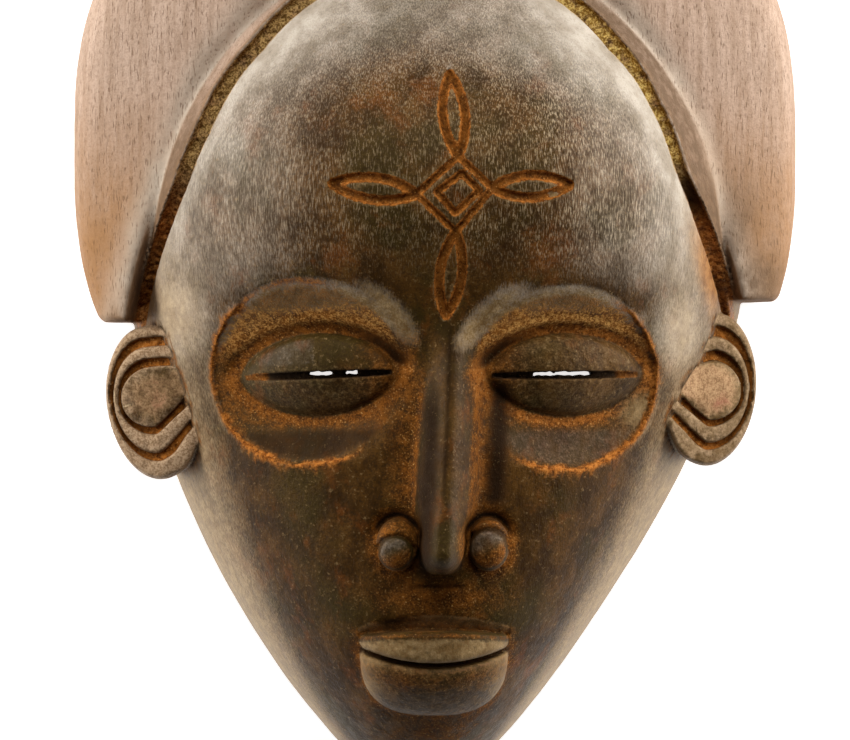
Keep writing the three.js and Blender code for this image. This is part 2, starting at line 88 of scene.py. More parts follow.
NOSE_TOP_Y, NOSE_TIP_Y, NOSE_TIP_ROUND = -2, -74.4, 7
NOSE_TOP_Z, NOSE_SLOPE = 97.6, 0.14
NOSE_HALF_WIDTH, NOSE_TIP_HALF_WIDTH = 9.4, 6.6
NOSE_FALL, NOSE_TIP_DROP, NOSE_TIP_PINCH = 13, 16, 0.55
NOSE_ROOF_POWER = 1.7
WING_OFFSET, WING_Y = 12.8, -66.4
WING_X, WING_TALL, WING_DEEP = 5.9, 7.4, 10.5
# Centre and half sizes of the disc whose upper edge is the arc cut into a wing, by side.
WING_ARCS = {-1: (-11.7, -68.5, 5.0, 4.9), 1: (14.2, -67.4, 5.6, 5.9)}
NICHE_DEPTH = 2.4

MOUTH_HALF_WIDTH = 20.9
LIP_TOP_Y, LIP_EDGE_Y, LIP_PARTING_Y, LIP_BOTTOM_Y = -86.4, -90.8, -100.3, -115.5
LIP_CORNER_RISE, RECESS_CORNER_DROP, EDGE_CORNER_DROP = 3.9, 3.4, 1.5
LIP_RISE, UPPER_LIP_END, LOWER_LIP_END_RISE, LOWER_LIP_END = 8.5, 1.0, 2.6, 3.5
RECESS_MIDDLE, RECESS_END = 3.2, 0.8
PARTING_HALF = 0.7
CREASE_Y = -78.3

# Centre x and y, how far a ring hangs below the one inside it, turn, slant of the upper rings.
EARS = [(-82.8, -25.3, 0.42, -9, 0.0), (79.4, -23.3, -0.1, 5, 0.3)]
EAR_INNER_RISE = {-1: 0.25, 1: 0.75}
EAR_DISC_X, EAR_DISC_Y, EAR_STEP_X, EAR_STEP_Y = 9, 8.4, 1.2, 3.5
EAR_FRONT_Z, EAR_BACK_Z, EAR_SIDE_DEPTH, EAR_FALL = 48.5, 16, 12, 0.38

DIAMOND = [(5.6, 41.6), (15.0, 32.8), (5.0, 20.7), (-5.7, 31.1)]
INNER_DIAMOND = [(6.7, 36.9), (11.4, 32.0), (4.8, 25.9), (-0.2, 31.7)]
PETAL_TIPS = [(3.4, 64.8), (36.5, 33.9), (2.3, -2.2), (-29.1, 34.2)]
PETAL_HALF_WIDTH, PETAL_STROKE_EXTRA = 3.1, 0.35
STROKE_DEPTH = 1.5
CHIP = (31.9, 31.3)

# Lowest and highest x, then lowest and highest y, of what is carved there.
NOSE_BOX, WINGS_BOX = (-26, 32, -80, 8), (-28, 32, -80, -50)
MOUTH_BOX, MOTIF_BOX = (-30, 30, -125, -78), (-34, 42, -8, 70)
EAR_REACH, SOCKET_REACH, SLIT_REACH = (22, 32), (36, 36), (24, 6)

# The grid that the surface is found on.
GRID_LOW, GRID_HIGH = (-112.0, -150.0, -3.0), (112.0, 150.0, 112.0)
COARSE, NEAR_SURFACE = 4.0, 1.3
PITCH = 0.66
TRIANGLES = 190000
SLOPE_STEP = 0.5
POINTS_AT_ONCE, CELLS_AT_ONCE = 150000, 3000
LONGEST_MOVE = 0.4

# How far out of and into the wood a hollow or an edge is looked for.
HOLLOW_REACHES, EDGE_REACH = (1.5, 5.0), 1.3
EAR_FLUSHES = {-1: (-82.0, -25.0), 1: (82.5, -27.5)}
MARK_NAMES = ("hair", "dirt", "dark", "pale", "ear", "pink", "patina", "inside", "channel",
              "ochre", "glow", "warm", "blue", "dust", "brushed", "ash", "gold", "grime", "stain")

# ---- small tools


def ramp(value, low, high):
    t = clip((value - low) / (high - low), 0, 1)
    return t * t * (3 - 2 * t)


def lerp(a, b, t):
    return a + (b - a) * t


def join(a, b, round_over):
    """Union of two fields with a fillet of about that size."""
    h = clip(0.5 + 0.5 * (b - a) / round_over, 0, 1)
    return lerp(b, a, h) - round_over * h * (1 - h)


def both(a, b, round_over):
    return -join(-a, -b, round_over)


def sign(value):
    return math.copysign(1, value)


def turned(u, v, degrees):
    a = radians(degrees)
    return u * cos(a) + v * sin(a), v * cos(a) - u * sin(a)


def bisected(low, high, rounds, is_low):
    """The highest value at each point that still counts as low."""
    for _ in range(rounds):
        middle = (low + high) / 2
        below = is_low(middle)
        low, high = where(below, middle, low), where(below, high, middle)
    return low


def blob(x, y, cx, cy, rx, ry):
    return exp(-((x - cx) / rx) ** 2 - ((y - cy) / ry) ** 2)


def hump(value, width):
    return exp(-((value / width) ** 2))


CORNERS = [(i, j, k) for i in (0, 1) for j in (0, 1) for k in (0, 1)]
UNIT = np.eye(3, dtype=int)
LATTICE = np.random.default_rng(7).uniform(-1, 1, (32, 32, 32))


def noise(x, y, z, size):
    """Smooth value noise, about -1 to 1, with cells of that size."""
    cells = [np.asarray(c, float) / size + 1000 for c in (x, y, z)]
    low = [np.floor(c).astype(np.int64) for c in cells]
    part = [c - i for c, i in zip(cells, low)]
    part = [f * f * (3 - 2 * f) for f in part]
    total = 0
    for i, j, k in CORNERS:
        corner = LATTICE[(low[0] + i) & 31, (low[1] + j) & 31, (low[2] + k) & 31]
        share = (part[0] if i else 1 - part[0]) * (part[1] if j else 1 - part[1])
        total = total + corner * share * (part[2] if k else 1 - part[2])
    return total


# ---- the face's dome


def outline_middle(y):
    """Where the middle of the face's outline leans to."""
    return -JAW_LEAN * ramp(-y, -20, 115)


def midline(y):
    """Where the ridge of the face, its nose and its mouth lean to."""
    return LEAN_X - LEAN_BEND * (LEAN_Y - y) ** 2


def crown_of(inset):
    return CROWN_Y - (CROWN_WALL / WALL) * inset


def half_width(y, inset=0.0):
    v = clip((y - WIDEST_Y) / (crown_of(inset) - WIDEST_Y), 0, 1)
    u = clip((WIDEST_Y - y) / (WIDEST_Y - JAW_POINT_Y - inset), 0, 1)
    rounded = clip((WIDEST_Y - y) / (WIDEST_Y - CHIN_Y - inset), 0, 1) ** CHIN_ROUNDING
    lower = (1 - u ** JAW_TAPER) * sqrt(1 - rounded)
    return (FACE_HALF_WIDTH - inset) * where(y >= WIDEST_Y, sqrt(1 - v * v), lower)


def ridge(y, inset=0.0):
    chin, crown = CHIN_Y + inset, crown_of(inset)
    v = clip(abs(y - (chin + crown) / 2) / ((crown - chin) / 2), 0, 1)
    bulge = FOREHEAD_RISE * hump(y - FOREHEAD_Y, FOREHEAD_SPREAD)
    return (FACE_RISE - inset + bulge) * sqrt(1 - v**4)


def side_reach(off, y, inset=0.0):
    side = where(off < 0, -1.0, 1.0)
    return side * (outline_middle(y) - midline(y)) + half_width(y, inset)


def dome(x, y, inset=0.0):
    """Height of the dome over a point of the back plane."""
    off = x - midline(y)
    t = clip(abs(off) / maximum(side_reach(off, y, inset), 1e-6), 0, 1)
    return ridge(y, inset) * sqrt(1 - t**SECTION_POWER)


def dome_field(x, y, z, inset=0.0):
    chin, crown = CHIN_Y + inset, crown_of(inset)

    def level(at_y):
        inner = clip(at_y, chin + 0.6, crown - 0.6)
        off = x - midline(inner)
        reach = maximum(side_reach(off, inner, inset), 1.0)
        t = abs(off) / reach
        rise = ridge(inner, inset)
        value = sqrt(t**SECTION_POWER + (z / rise) ** 2) + 1e-9
        return value, t, reach, rise

    value, t, reach, rise = level(y)
    slope_y = (level(y + SLOPE_STEP)[0] - value) / SLOPE_STEP
    slope_x = 0.5 * SECTION_POWER * t ** (SECTION_POWER - 1) / reach / value
    slope_z = z / rise**2 / value
    away = (value - 1) / sqrt(slope_x**2 + slope_y**2 + slope_z**2 + 1e-8)
    return maximum(clip(away, -40, 60), maximum(chin - y, y - crown))


# ---- the coiffure and its groove


def groove_radius(angle, around):
    spread = 0.16 * maximum(0, 38 - angle)
    spread = spread + 0.085 * maximum(0, 5 - angle) ** 1.6
    return GROOVE_RADIUS + spread + interp(around, GROOVE_ANGLES, GROOVE_SHIFTS)


def groove_half(around):
    return interp(around, GROOVE_ANGLES, GROOVE_HALVES)


def hair_outline_x(y):
    low = maximum(0, HAIR_WIDEST_Y - y) / HAIR_TUCK_SPAN
    below = HAIR_HALF_WIDTH - HAIR_TUCK * low**HAIR_TUCK_POWER
    v = clip((y - HAIR_WIDEST_Y) / (HAIR_TOP_Y - HAIR_WIDEST_Y), 0, 1)
    above = HAIR_HALF_WIDTH * (1 - v**HAIR_SQUARENESS) ** (1 / HAIR_SQUARENESS)
    return where(y < HAIR_WIDEST_Y, below, above)


def hair_radius_table():
    """Angle above the horizontal, and the coiffure's outer radius there."""
    angle = np.linspace(HAIR_LOW_ANGLE, 90, 500)
    c, s = cos(radians(angle)), sin(radians(angle))

    def in_hair(radius):
        y = ARCH_Y + radius * s
        return (y < HAIR_TOP_Y) & (radius * c < hair_outline_x(y))

    return angle, bisected(GROOVE_RADIUS, 2 * HAIR_HALF_WIDTH, 40, in_hair)


HAIR_TABLE = hair_radius_table()


def groove_floor_table():
    """Angle from the right, and the height of the groove's floor there."""
    angle = np.linspace(-50, 230, 900)
    upper = where(angle > 90, 180 - angle, angle)
    radius = groove_radius(upper, angle)
    x = ARCH_X + radius * cos(radians(angle))
    y = ARCH_Y + radius * sin(radians(angle))
    return angle, maximum(dome(x, y) - GROOVE_DEPTH, GROOVE_LOWEST)


FLOOR_TABLE = groove_floor_table()


def polar(x, y):
    """Radius about the arch's centre, angle above the horizontal, and angle from the right."""
    dx, dy = x - ARCH_X, y - ARCH_Y
    upper = np.degrees(np.arctan2(dy, abs(dx)))
    return hypot(dx, dy), upper, where(dx < 0, 180 - upper, upper)


def hair_end(x):
    """How low the coiffure comes down on that side."""
    return where(x < ARCH_X, HAIR_END_LEFT_Y, HAIR_END_RIGHT_Y)


def hair_field(x, y, z):
    radius, upper, around = polar(x, y)
    upper = maximum(upper, HAIR_LOW_ANGLE)
    inner = groove_radius(upper, around) + groove_half(around)
    outer = interp(upper, *HAIR_TABLE)
    up = ramp(upper, -20, 90)
    inner_top = lerp(HAIR_INNER_END, HAIR_INNER_CROWN, up)
    outer_top = lerp(HAIR_OUTER_END, HAIR_OUTER_CROWN, up)

    def level(at_radius):
        share = (at_radius - inner) / (outer - inner)
        top = lerp(inner_top, outer_top, clip(share, 0, 1) ** HAIR_SLOPE_POWER)
        out = clip(abs(2 * share - 1), 0, 1.6)
        return (maximum(z, 0) / top) ** 3 + out**8 - 1, top

    value, top = level(radius)
    slope_r = (level(radius + SLOPE_STEP)[0] - value) / SLOPE_STEP
    slope_z = 3 * maximum(z, 0) ** 2 / top**3
    away = clip(value / sqrt(slope_r**2 + slope_z**2 + 1e-6), -30, 60)
    wall = radius - outer + HAIR_BACK_INSET * maximum(0, HAIR_SIDE_TOP - z) / 24
    return both(maximum(away, wall), hair_end(x) - y, 2.2)


def groove_wall(radius, upper, around):
    return abs(radius - groove_radius(upper, around)) - groove_half(around)


def groove_cut(x, y, z, rough):
    """Negative inside the channel between forehead and coiffure."""
    radius, upper, around = polar(x, y)
    wall = groove_wall(radius, upper, around) + 0.2 * rough
    floor = interp(around, *FLOOR_TABLE) + 4.0 * ramp(-around, 4, 20) + 0.6 * rough
    low = maximum(GROOVE_LOW_ANGLE - around, around - (180 - GROOVE_LOW_ANGLE))
    return maximum(both(wall, floor - z, GROOVE_FILLET), low * radians(radius))


def groove_bed(x, y, z):
    """The wood that the groove is cut into, where dome and coiffure leave a gap."""
    radius, upper, around = polar(x, y)
    wall = groove_wall(radius, upper, around) - BED_LIP
    top = z - (interp(around, *FLOOR_TABLE) + GROOVE_FILLET)
    return maximum(maximum(wall, top), hair_end(x) - y)


# ---- ears

# Steps out of the disc, and how far the wood there lies below the ear's front.
EAR_ROWS = np.array([
    (-0.97, 0), (-0.5, 0), (0, 0.4), (0.15, 2.8), (0.85, 2.8), (1, 0.5), (1.9, 0.7),
    (2.1, 2.8), (2.85, 2.8), (3, 0.8), (3.8, 1.4), (4, 3.2), (5, 6),
])


def ear_steps(ear, x, y):
    """Steps out of the ear's disc, which is out to 0, its rings and its rim, which ends at 4.

    Towards the face the rings open out and run into the crease, the lower ones upwards.
    """
    cx, cy, droop, turn, top_slant = ear
    u, v = turned(x - cx, y - cy, -turn)
    inward = maximum(0, -sign(cx) * u)
    slant = where(v < 0, -0.62 * (1 - 0.8 * ramp(-v, 12, 22)), top_slant)
    bent = v + slant * inward
    wide = where(inward > 0, 0.5 * u, u)

    def beyond(step):
        size = (wide / (EAR_DISC_X + EAR_STEP_X * step)) ** 2
        return size + ((bent + droop * step) / (EAR_DISC_Y + EAR_STEP_Y * step)) ** 2 > 1

    disc = hypot(wide / EAR_DISC_X, bent / EAR_DISC_Y)
    even = steps = where(disc < 1, disc - 1, bisected(0.0, 12.0, 16, beyond))
    first = 1 - 0.33 * ramp(-v / (hypot(u, v) + 1e-6), 0.2, 0.9)
    bounds = [0, first, 2, 2 + first, 4]
    for i in range(4):
        share = (steps - bounds[i]) / (bounds[i + 1] - bounds[i])
        even = where((share > 0) & (share <= 1), i + share, even)
    return even, u, v


def ear_field(ear, x, y, z):
    even, u, v = ear_steps(ear, x, y)
    side = sign(ear[0])
    below = interp(even, EAR_ROWS[:, 0], EAR_ROWS[:, 1])
    out = side * (x - ear[0])
    fall = EAR_FALL * maximum(-4, out) + EAR_INNER_RISE[side] * clip(out + 4, -8, 0)
    top = (z - (EAR_FRONT_Z - below - fall)) * 0.9
    rim_x, rim_y = EAR_DISC_X + 4 * EAR_STEP_X, EAR_DISC_Y + 4 * EAR_STEP_Y
    lowered = v + 4 * ear[2]
    size = hypot(u / rim_x, lowered / rim_y) + 1e-6
    wall = hypot(u, lowered) * (1 - 1 / size)
    wall = wall + 0.12 * maximum(0, EAR_FRONT_Z - EAR_SIDE_DEPTH - z)
    return both(both(top, wall, 1.4), EAR_BACK_Z - z, 3.0)


# ---- eyes


def socket_share(socket, x, y):
    """Distance from the socket's centre as a share of its radius there, and the angle."""
    cx, cy, radius = socket
    angle = np.arctan2(y - cy, x - cx)
    inward = maximum(0, -sign(cx) * cos(angle))
    around = radius * (1 + SOCKET_INNER_REACH * inward**2)
    return hypot(x - cx, y - cy) / around, angle


def rim_crispness(socket, angle):
    """1 where the socket's rim is a cut edge, 0 where it runs softly into the brow and nose."""
    outward = sign(socket[0]) * cos(angle)
    below = ramp(-sin(angle), -0.2, 0.35)
    beside = ramp(outward, 0.2, 0.8)
    above = (0.75 if socket[0] < 0 else 0.2) * ramp(outward, -0.75, -0.1)
    return maximum(maximum(below * ramp(outward, -0.85, -0.3), beside), above)


def socket_floor(share, height, crisp):
    step = RIM_STEP * crisp
    return height - step - (SOCKET_DEPTH - step) * (1 - minimum(share, 1.3) ** 2.2)


def lid_axes(lid, x, y):
    return turned(x - lid[0], y - lid[1], lid[2])


def lid_size(u, v):
    flat = 2 / (2 - LID_POINT)
    return (u / LID_HALF_LENGTH) ** 2 + (abs(v) / LID_HALF_HEIGHT) ** flat


def slit_half(u):
    near = sqrt(clip(1 - (u / SLIT_HALF_LENGTH) ** 2, 0, 1))
    return lerp(SLIT_END, SLIT_MIDDLE, near) / 2


# ---- nose and mouth


def nose_field(x, y, z):
    straight = NOSE_TIP_Y + NOSE_TIP_ROUND
    down = (NOSE_TOP_Y - y) / (NOSE_TOP_Y - NOSE_TIP_Y)
    past = clip((straight - y) / NOSE_TIP_ROUND, 0, 1)
    close = sqrt(1 - past * past)
    half = lerp(NOSE_HALF_WIDTH, NOSE_TIP_HALF_WIDTH, ramp(down, 0.6, 0.95))
    half = half * lerp(NOSE_TIP_PINCH, 1, close)
    top = NOSE_TOP_Z + NOSE_SLOPE * (NOSE_TOP_Y - y) - NOSE_TIP_DROP * (1 - close)
    across = abs(x - midline(y)) / half
    tip = ramp(-y, -NOSE_TIP_Y - 20, -NOSE_TIP_Y - 11)
    power = lerp(NOSE_ROOF_POWER, 2.4, tip)
    arch = top - NOSE_FALL * clip(across, 0, 1.2) ** power
    slope = power * NOSE_FALL * clip(across, 0.05, 1.2) ** (power - 1) / half
    roof = (z - arch) / sqrt(1 + slope**2)
    sides = both(roof, (across - 1) * half, 2.4)
    return both(maximum(sides, NOSE_TIP_Y - y), y - NOSE_TOP_Y, 2.0)


def wing_middle(side):
    return midline(WING_Y) + side * WING_OFFSET


def wing_axes(side, x, y):
    return (x - wing_middle(side)) / WING_X, (y - WING_Y) / WING_TALL


def wing_arc(side, x, y):
    """Distance out of the disc whose upper edge is the arc cut into the wing."""
    ax, ay, rx, ry = WING_ARCS[side]
    return (hypot((x - ax) / rx, (y - ay) / ry) - 1) * rx


def wing_field(side, x, y, z):
    rise = dome(wing_middle(side), WING_Y)
    u, v = wing_axes(side, x, y)
    out = hypot(u, v)
    wall = (out - 1) * lerp(WING_X, WING_TALL, abs(v) / (out + 1e-6))
    top = (z - rise - WING_DEEP * (0.96 - 0.34 * minimum(out, 1.2) ** 2)) * 0.85
    return both(wall, top, 3.0)


def wing_carving(field, side, x, y, z):
    """A knob in a niche, with an arc cut under its upper edge."""
    u, v = wing_axes(side, x, y)
    beyond = (hypot(u, v) - 1) * WING_X
    niche = NICHE_DEPTH * hump(maximum(beyond, 0), 2.0) * ramp(v, 0.0, 0.8)
    field = field + niche * (z > FRONT_Z)
    _, arc_y, _, arc_tall = WING_ARCS[side]
    arc = 1.1 * hump(wing_arc(side, x, y), 0.7) * ramp((y - arc_y) / arc_tall, -0.3, 0.3)
    return join(field, wing_field(side, x, y, z) + arc, 0.6)


def mouth_share(x):
    """-1 and 1 at the mouth's corners, 0 in its middle."""
    return (x - midline(LIP_PARTING_Y)) / MOUTH_HALF_WIDTH


def mouth_lines(share):
    """Heights of the parting, the upper lip's edge and the recess's top, and the lips' swell."""
    s2 = minimum(share**2, 1.4)
    parting = LIP_PARTING_Y + LIP_CORNER_RISE * s2
    edge = LIP_EDGE_Y - EDGE_CORNER_DROP * s2
    top = LIP_TOP_Y - RECESS_CORNER_DROP * s2
    swell = sqrt(clip(1 - share**2, 0, 1))
    return parting, edge, top, swell


def lip_fields(x, y, z):
    share = mouth_share(x)
    parting, edge, _, swell = mouth_lines(share)
    ends = (abs(share) - 1) * MOUTH_HALF_WIDTH
    over = dome(x, edge)
    front = over + lerp(UPPER_LIP_END, LIP_RISE, swell)
    lean = front - 1.2 * clip((edge - y) / (edge - parting), 0, 1) ** 2
    upper_bottom = parting + PARTING_HALF
    upper = both(both(y - edge, upper_bottom - y, 0.8), z - lean, 1.8)
    upper = both(upper, ends, 1.5)
    mouth_line = parting - PARTING_HALF
    drop = clip(1 - abs(share) ** 2.6, 0, 1) ** (1 / 2.0)
    bottom = lerp(mouth_line - LOWER_LIP_END, LIP_BOTTOM_Y, drop)
    rise = lerp(LOWER_LIP_END_RISE, LIP_RISE, swell)
    fall = clip((mouth_line - y) / maximum(mouth_line - bottom, 0.5), 0, 1.1)
    crest = dome(x, mouth_line) + rise
    foot = dome(x, bottom) + 0.5 * rise
    roll = lerp(crest, foot, fall**1.7)
    lower = both(both(y - mouth_line, bottom - y, 0.8), (z - roll) * 0.85, 2.2)
    lower = both(lower, ends, 1.5)
    return upper, lower


def recess_cut(x, y, z, height):
    """Negative in the recess above the upper lip."""
    share = mouth_share(x)
    _, edge, top, swell = mouth_lines(share)
    deep = lerp(RECESS_END, RECESS_MIDDLE, swell)
    floor = height - deep * clip((top - y) / (top - edge), 0, 1.2)
    cut = maximum(floor - z, maximum(y - top, edge - 1.5 - y))
    return maximum(cut, (abs(share) - 1) * MOUTH_HALF_WIDTH)


# ---- the forehead's motif


def segment_distance(x, y, start, stop):
    (ax, ay), (bx, by) = start, stop
    length = (bx - ax) ** 2 + (by - ay) ** 2
    t = clip(((x - ax) * (bx - ax) + (y - ay) * (by - ay)) / length, 0, 1)
    return hypot(x - ax - t * (bx - ax), y - ay - t * (by - ay))


def motif_distance(x, y):
    """Distance to the middle of the nearest stroke of the diamonds and the looped petals."""
    sides = [side for ring in (DIAMOND, INNER_DIAMOND) for side in zip(ring, ring[1:] + ring[:1])]
    near = np.min([segment_distance(x, y, *side) for side in sides], axis=0)
    for (ax, ay), (bx, by) in zip(DIAMOND, PETAL_TIPS):
        length = hypot(bx - ax, by - ay)
        ux, uy = (bx - ax) / length, (by - ay) / length
        along = (x - ax) * ux + (y - ay) * uy
        across = abs((y - ay) * ux - (x - ax) * uy)
        bow = [(length * i / 10, PETAL_HALF_WIDTH * sin(math.pi * i / 10) ** 0.8)
               for i in range(11)]
        for start, stop in zip(bow, bow[1:]):
            stroke = segment_distance(along, across, start, stop) - PETAL_STROKE_EXTRA
            near = minimum(near, stroke)
    return near


# ---- the whole carving


def within(x, y, box):
    return np.flatnonzero((x > box[0]) & (x < box[1]) & (y > box[2]) & (y < box[3]))


def close_to(x, y, centre, reach):
    (cx, cy), (rx, ry) = centre[:2], reach
    return within(x, y, (cx - rx, cx + rx, cy - ry, cy + ry))


def eye_carving(field, socket, lid, x, y, z, height, slant):
    """Sinks the socket and sets the lid in it, with a trench over the lid."""
    share, angle = socket_share(socket, x, y)
    crisp = rim_crispness(socket, angle)
    floor = socket_floor(share, height, crisp)
    wall = (share - lerp(1.12, 1.0, crisp)) * socket[2]
    field = both(field, -maximum(wall, (floor - z) * slant), 0.7 + 2.6 * (1 - crisp))
    u, v = lid_axes(lid, x, y)
    size = lid_size(u, v)
    beyond = (sqrt(size) - 1) * LID_HALF_HEIGHT
    nasal = ramp(-sign(socket[0]) * u, -12, 14)
    trench = ramp(beyond, -1.5, 0) * (1 - ramp(beyond, 1.6, 3.4)) * ramp(v, -1, 3)
    field = field + TRENCH_DEPTH * (0.35 + 0.65 * nasal) * trench * (z > FRONT_Z)
    foot = maximum(height - SOCKET_DEPTH + LID_STEP, floor + 0.5)
    top = foot + LID_BULGE * clip(1 - size, 0, 1) ** LID_FULLNESS
    return join(field, both(0.8 * beyond, (z - top) * slant * 0.9, 2.2), 0.7)


def slit_carving(field, lid, holes, x, y, z, height):
    """Scores the slit along the lid and pierces it where the holes are."""
    u, v = lid_axes(lid, x, y)
    half = slit_half(u)
    outline = maximum(abs(v) - half, abs(u) - SLIT_HALF_LENGTH)
    surface = height - SOCKET_DEPTH + LID_STEP + LID_BULGE
    scored = maximum(outline, (surface - SLIT_DEPTH - z) * 0.8)
    ragged = 0.2 * noise(u, v, 0 * u, 1.1)
    between = np.min([maximum(start - u, u - stop) for start, stop in holes], axis=0)
    pierced = maximum(abs(v - 0.45 * half) - 0.5 * half, between) + ragged
    return both(field, -minimum(scored + 0.6 * ragged, pierced), 0.3)


def carving(p):
    """Signed field of the finished carving at points in millimetres: below 0 in the wood."""
    x, y, z = xyz = p.T
    height = dome(x, y)
    slope_x = (dome(x + SLOPE_STEP, y) - height) / SLOPE_STEP
    slope_y = (dome(x, y + SLOPE_STEP) - height) / SLOPE_STEP
    slant = 1 / sqrt(1 + clip(slope_x, -4, 4) ** 2 + clip(slope_y, -4, 4) ** 2)
    field = join(dome_field(x, y, z), hair_field(x, y, z), lerp(1.0, 3.0, ramp(y, 8, 25)))
    field = join(field, groove_bed(x, y, z), 0.6)
    rough = noise(x, y, z, 1.3) + 0.3 * noise(y, z, x, 4.0)
    field = both(field, -groove_cut(x, y, z, rough), 0.9)
    field = field + 0.22 * noise(x, y, z, 17.0) + 0.06 * noise(z, x, y, 4.5)

    for ear in EARS:
        at = close_to(x, y, ear, EAR_REACH)
        field[at] = join(field[at], ear_field(ear, *xyz[:, at]), 0.7)
    for socket, lid in zip(SOCKETS, LIDS):
        at = close_to(x, y, socket, SOCKET_REACH)
        field[at] = eye_carving(field[at], socket, lid, *xyz[:, at], height[at], slant[at])

    at = within(x, y, NOSE_BOX)
    root = 2.2 + 3.5 * ramp(y[at], -30, -5)
    field[at] = join(field[at], nose_field(*xyz[:, at]), root)
    at = within(x, y, MOUTH_BOX)
    field[at] = both(field[at], -recess_cut(*xyz[:, at], height[at]), 0.8)
    crease = hump(y[at] - CREASE_Y - 0.02 * x[at], 0.9) * (1 - ramp(abs(x[at] - 1), 4, 9))
    field[at] += 0.7 * crease * (z[at] > FRONT_Z)
    upper, lower = lip_fields(*xyz[:, at])
    field[at] = join(join(field[at], upper, 0.6), lower, 0.6)
    at = within(x, y, WINGS_BOX)
    for side in (-1, 1):
        field[at] = wing_carving(field[at], side, *xyz[:, at])
    at = within(x, y, MOTIF_BOX)
    stroke = 1 - ramp(motif_distance(x[at], y[at]), 0.0, 1.3)
    field[at] += STROKE_DEPTH * stroke * (z[at] > FRONT_Z)

    gouge = 0.5 * noise(x, y * 0.45, z, 9.0)
    field = both(field, -dome_field(x, y, z, WALL) + gouge, 2.0)
    for lid, holes in zip(LIDS, SLIT_HOLES):
        at = close_to(x, y, lid, SLIT_REACH)
        field[at] = slit_carving(field[at], lid, holes, *xyz[:, at], height[at])
    return both(field, -z, 0.8)


# ---- from field to mesh


def in_chunks(function, points):
    starts = range(0, len(points), POINTS_AT_ONCE)
    return np.concatenate([function(points[i:i + POINTS_AT_ONCE]) for i in starts])


def gradient(p, value, step=0.1):
    parts = []
    for axis in range(3):
        parts.append((in_chunks(carving, p + step * UNIT[axis]) - value) / step)
    return np.stack(parts, 1)


def settle(p, rounds):
    """Moves points onto the field's zero level."""
    for _ in range(rounds):
        value = in_chunks(carving, p)
        slope = gradient(p, value)
        steep = maximum((slope**2).sum(1), 0.15)
        move = slope * (value / steep)[:, None]
        length = np.linalg.norm(move, axis=1, keepdims=True)
        p = p - move * minimum(1, LONGEST_MOVE / maximum(length, 1e-9))
    return p


def narrow_band():
    """The field on a fine grid, worked out only near the surface."""
    low = np.array(GRID_LOW)
    ratio = round(COARSE / PITCH)
    coarse = PITCH * ratio
    count = np.ceil((np.array(GRID_HIGH) - low) / coarse).astype(int)
    axes = [low[i] + coarse * (np.arange(count[i]) + 0.5) for i in range(3)]
    grid = np.stack(np.meshgrid(*axes, indexing="ij"), -1).reshape(-1, 3)
    middle = in_chunks(carving, grid)
    field = middle.reshape(count).astype(np.float32)
    for axis in range(3):
        field = np.repeat(field, ratio, axis)
    near = np.flatnonzero(abs(middle) < NEAR_SURFACE * coarse)
    cells = np.stack(np.unravel_index(near, count), 1) * ratio
    inner = np.stack(np.meshgrid(*[np.arange(ratio)] * 3, indexing="ij"), -1).reshape(-1, 3)
    for i in range(0, len(cells), CELLS_AT_ONCE):
        index = (cells[i:i + CELLS_AT_ONCE, None, :] + inner[None]).reshape(-1, 3)
        field[index[:, 0], index[:, 1], index[:, 2]] = carving(low + PITCH * (index + 0.5))
    return field, low + 0.5 * PITCH


def surface_net(field, low):
    """One vertex in each cell that the surface crosses, one quad on each crossed grid edge."""
    inside = field < 0
    shape = np.array(inside.shape) - 1
    count = np.zeros(shape, np.uint8)
    for i, j, k in CORNERS:
        count += inside[i:i + shape[0], j:j + shape[1], k:k + shape[2]]
    active = np.argwhere((count > 0) & (count < 8))
    number = np.full(shape, -1, np.int32)
    number[tuple(active.T)] = np.arange(len(active))
    values = {c: field[tuple((active + c).T)].astype(float) for c in CORNERS}
    total, hits = np.zeros((len(active), 3)), np.zeros(len(active))
    for a in CORNERS:
        for axis in range(3):
            if a[axis]:
                continue
            b = a[:axis] + (1,) + a[axis + 1:]
            fa, fb = values[a], values[b]
            crossed = (fa < 0) != (fb < 0)
            t = where(crossed, fa / where(crossed, fa - fb, 1), 0)
            total += (a + t[:, None] * UNIT[axis]) * crossed[:, None]
            hits += crossed
    vertices = low + PITCH * (active + total / hits[:, None])
    quads = []
    for axis in range(3):
        one, two = UNIT[(axis + 1) % 3], UNIT[(axis + 2) % 3]
        span = [slice(1, n) for n in shape]
        span[axis] = slice(0, shape[axis])
        ahead = list(span)
        ahead[axis] = slice(1, shape[axis] + 1)
        here, there = inside[tuple(span)], inside[tuple(ahead)]
        for flips, mask in ((False, here & ~there), (True, there & ~here)):
            ring = [np.argwhere(mask) + step for step in (one + two, two, 0 * one, one)]
            quad = np.stack([number[tuple(cell.T)] for cell in ring], 1)
            quads.append(quad[:, ::-1] if flips else quad)
    return vertices, np.concatenate(quads)


def new_mesh(name, vertices, faces):
    mesh = bpy.data.meshes.new(name)
    mesh.vertices.add(len(vertices))
    mesh.vertices.foreach_set("co", np.asarray(vertices, np.float32).ravel())
    mesh.loops.add(faces.size)
    mesh.loops.foreach_set("vertex_index", faces.astype(np.int32).ravel())
    mesh.polygons.add(len(faces))
    starts = np.arange(0, faces.size, faces.shape[1], dtype=np.int32)
    mesh.polygons.foreach_set("loop_start", starts)
    mesh.update(calc_edges=True)
    mesh.validate()
    return mesh


def positions(mesh):
    co = np.zeros(len(mesh.vertices) * 3, np.float32)
    mesh.vertices.foreach_get("co", co)
    return co.reshape(-1, 3).astype(float)
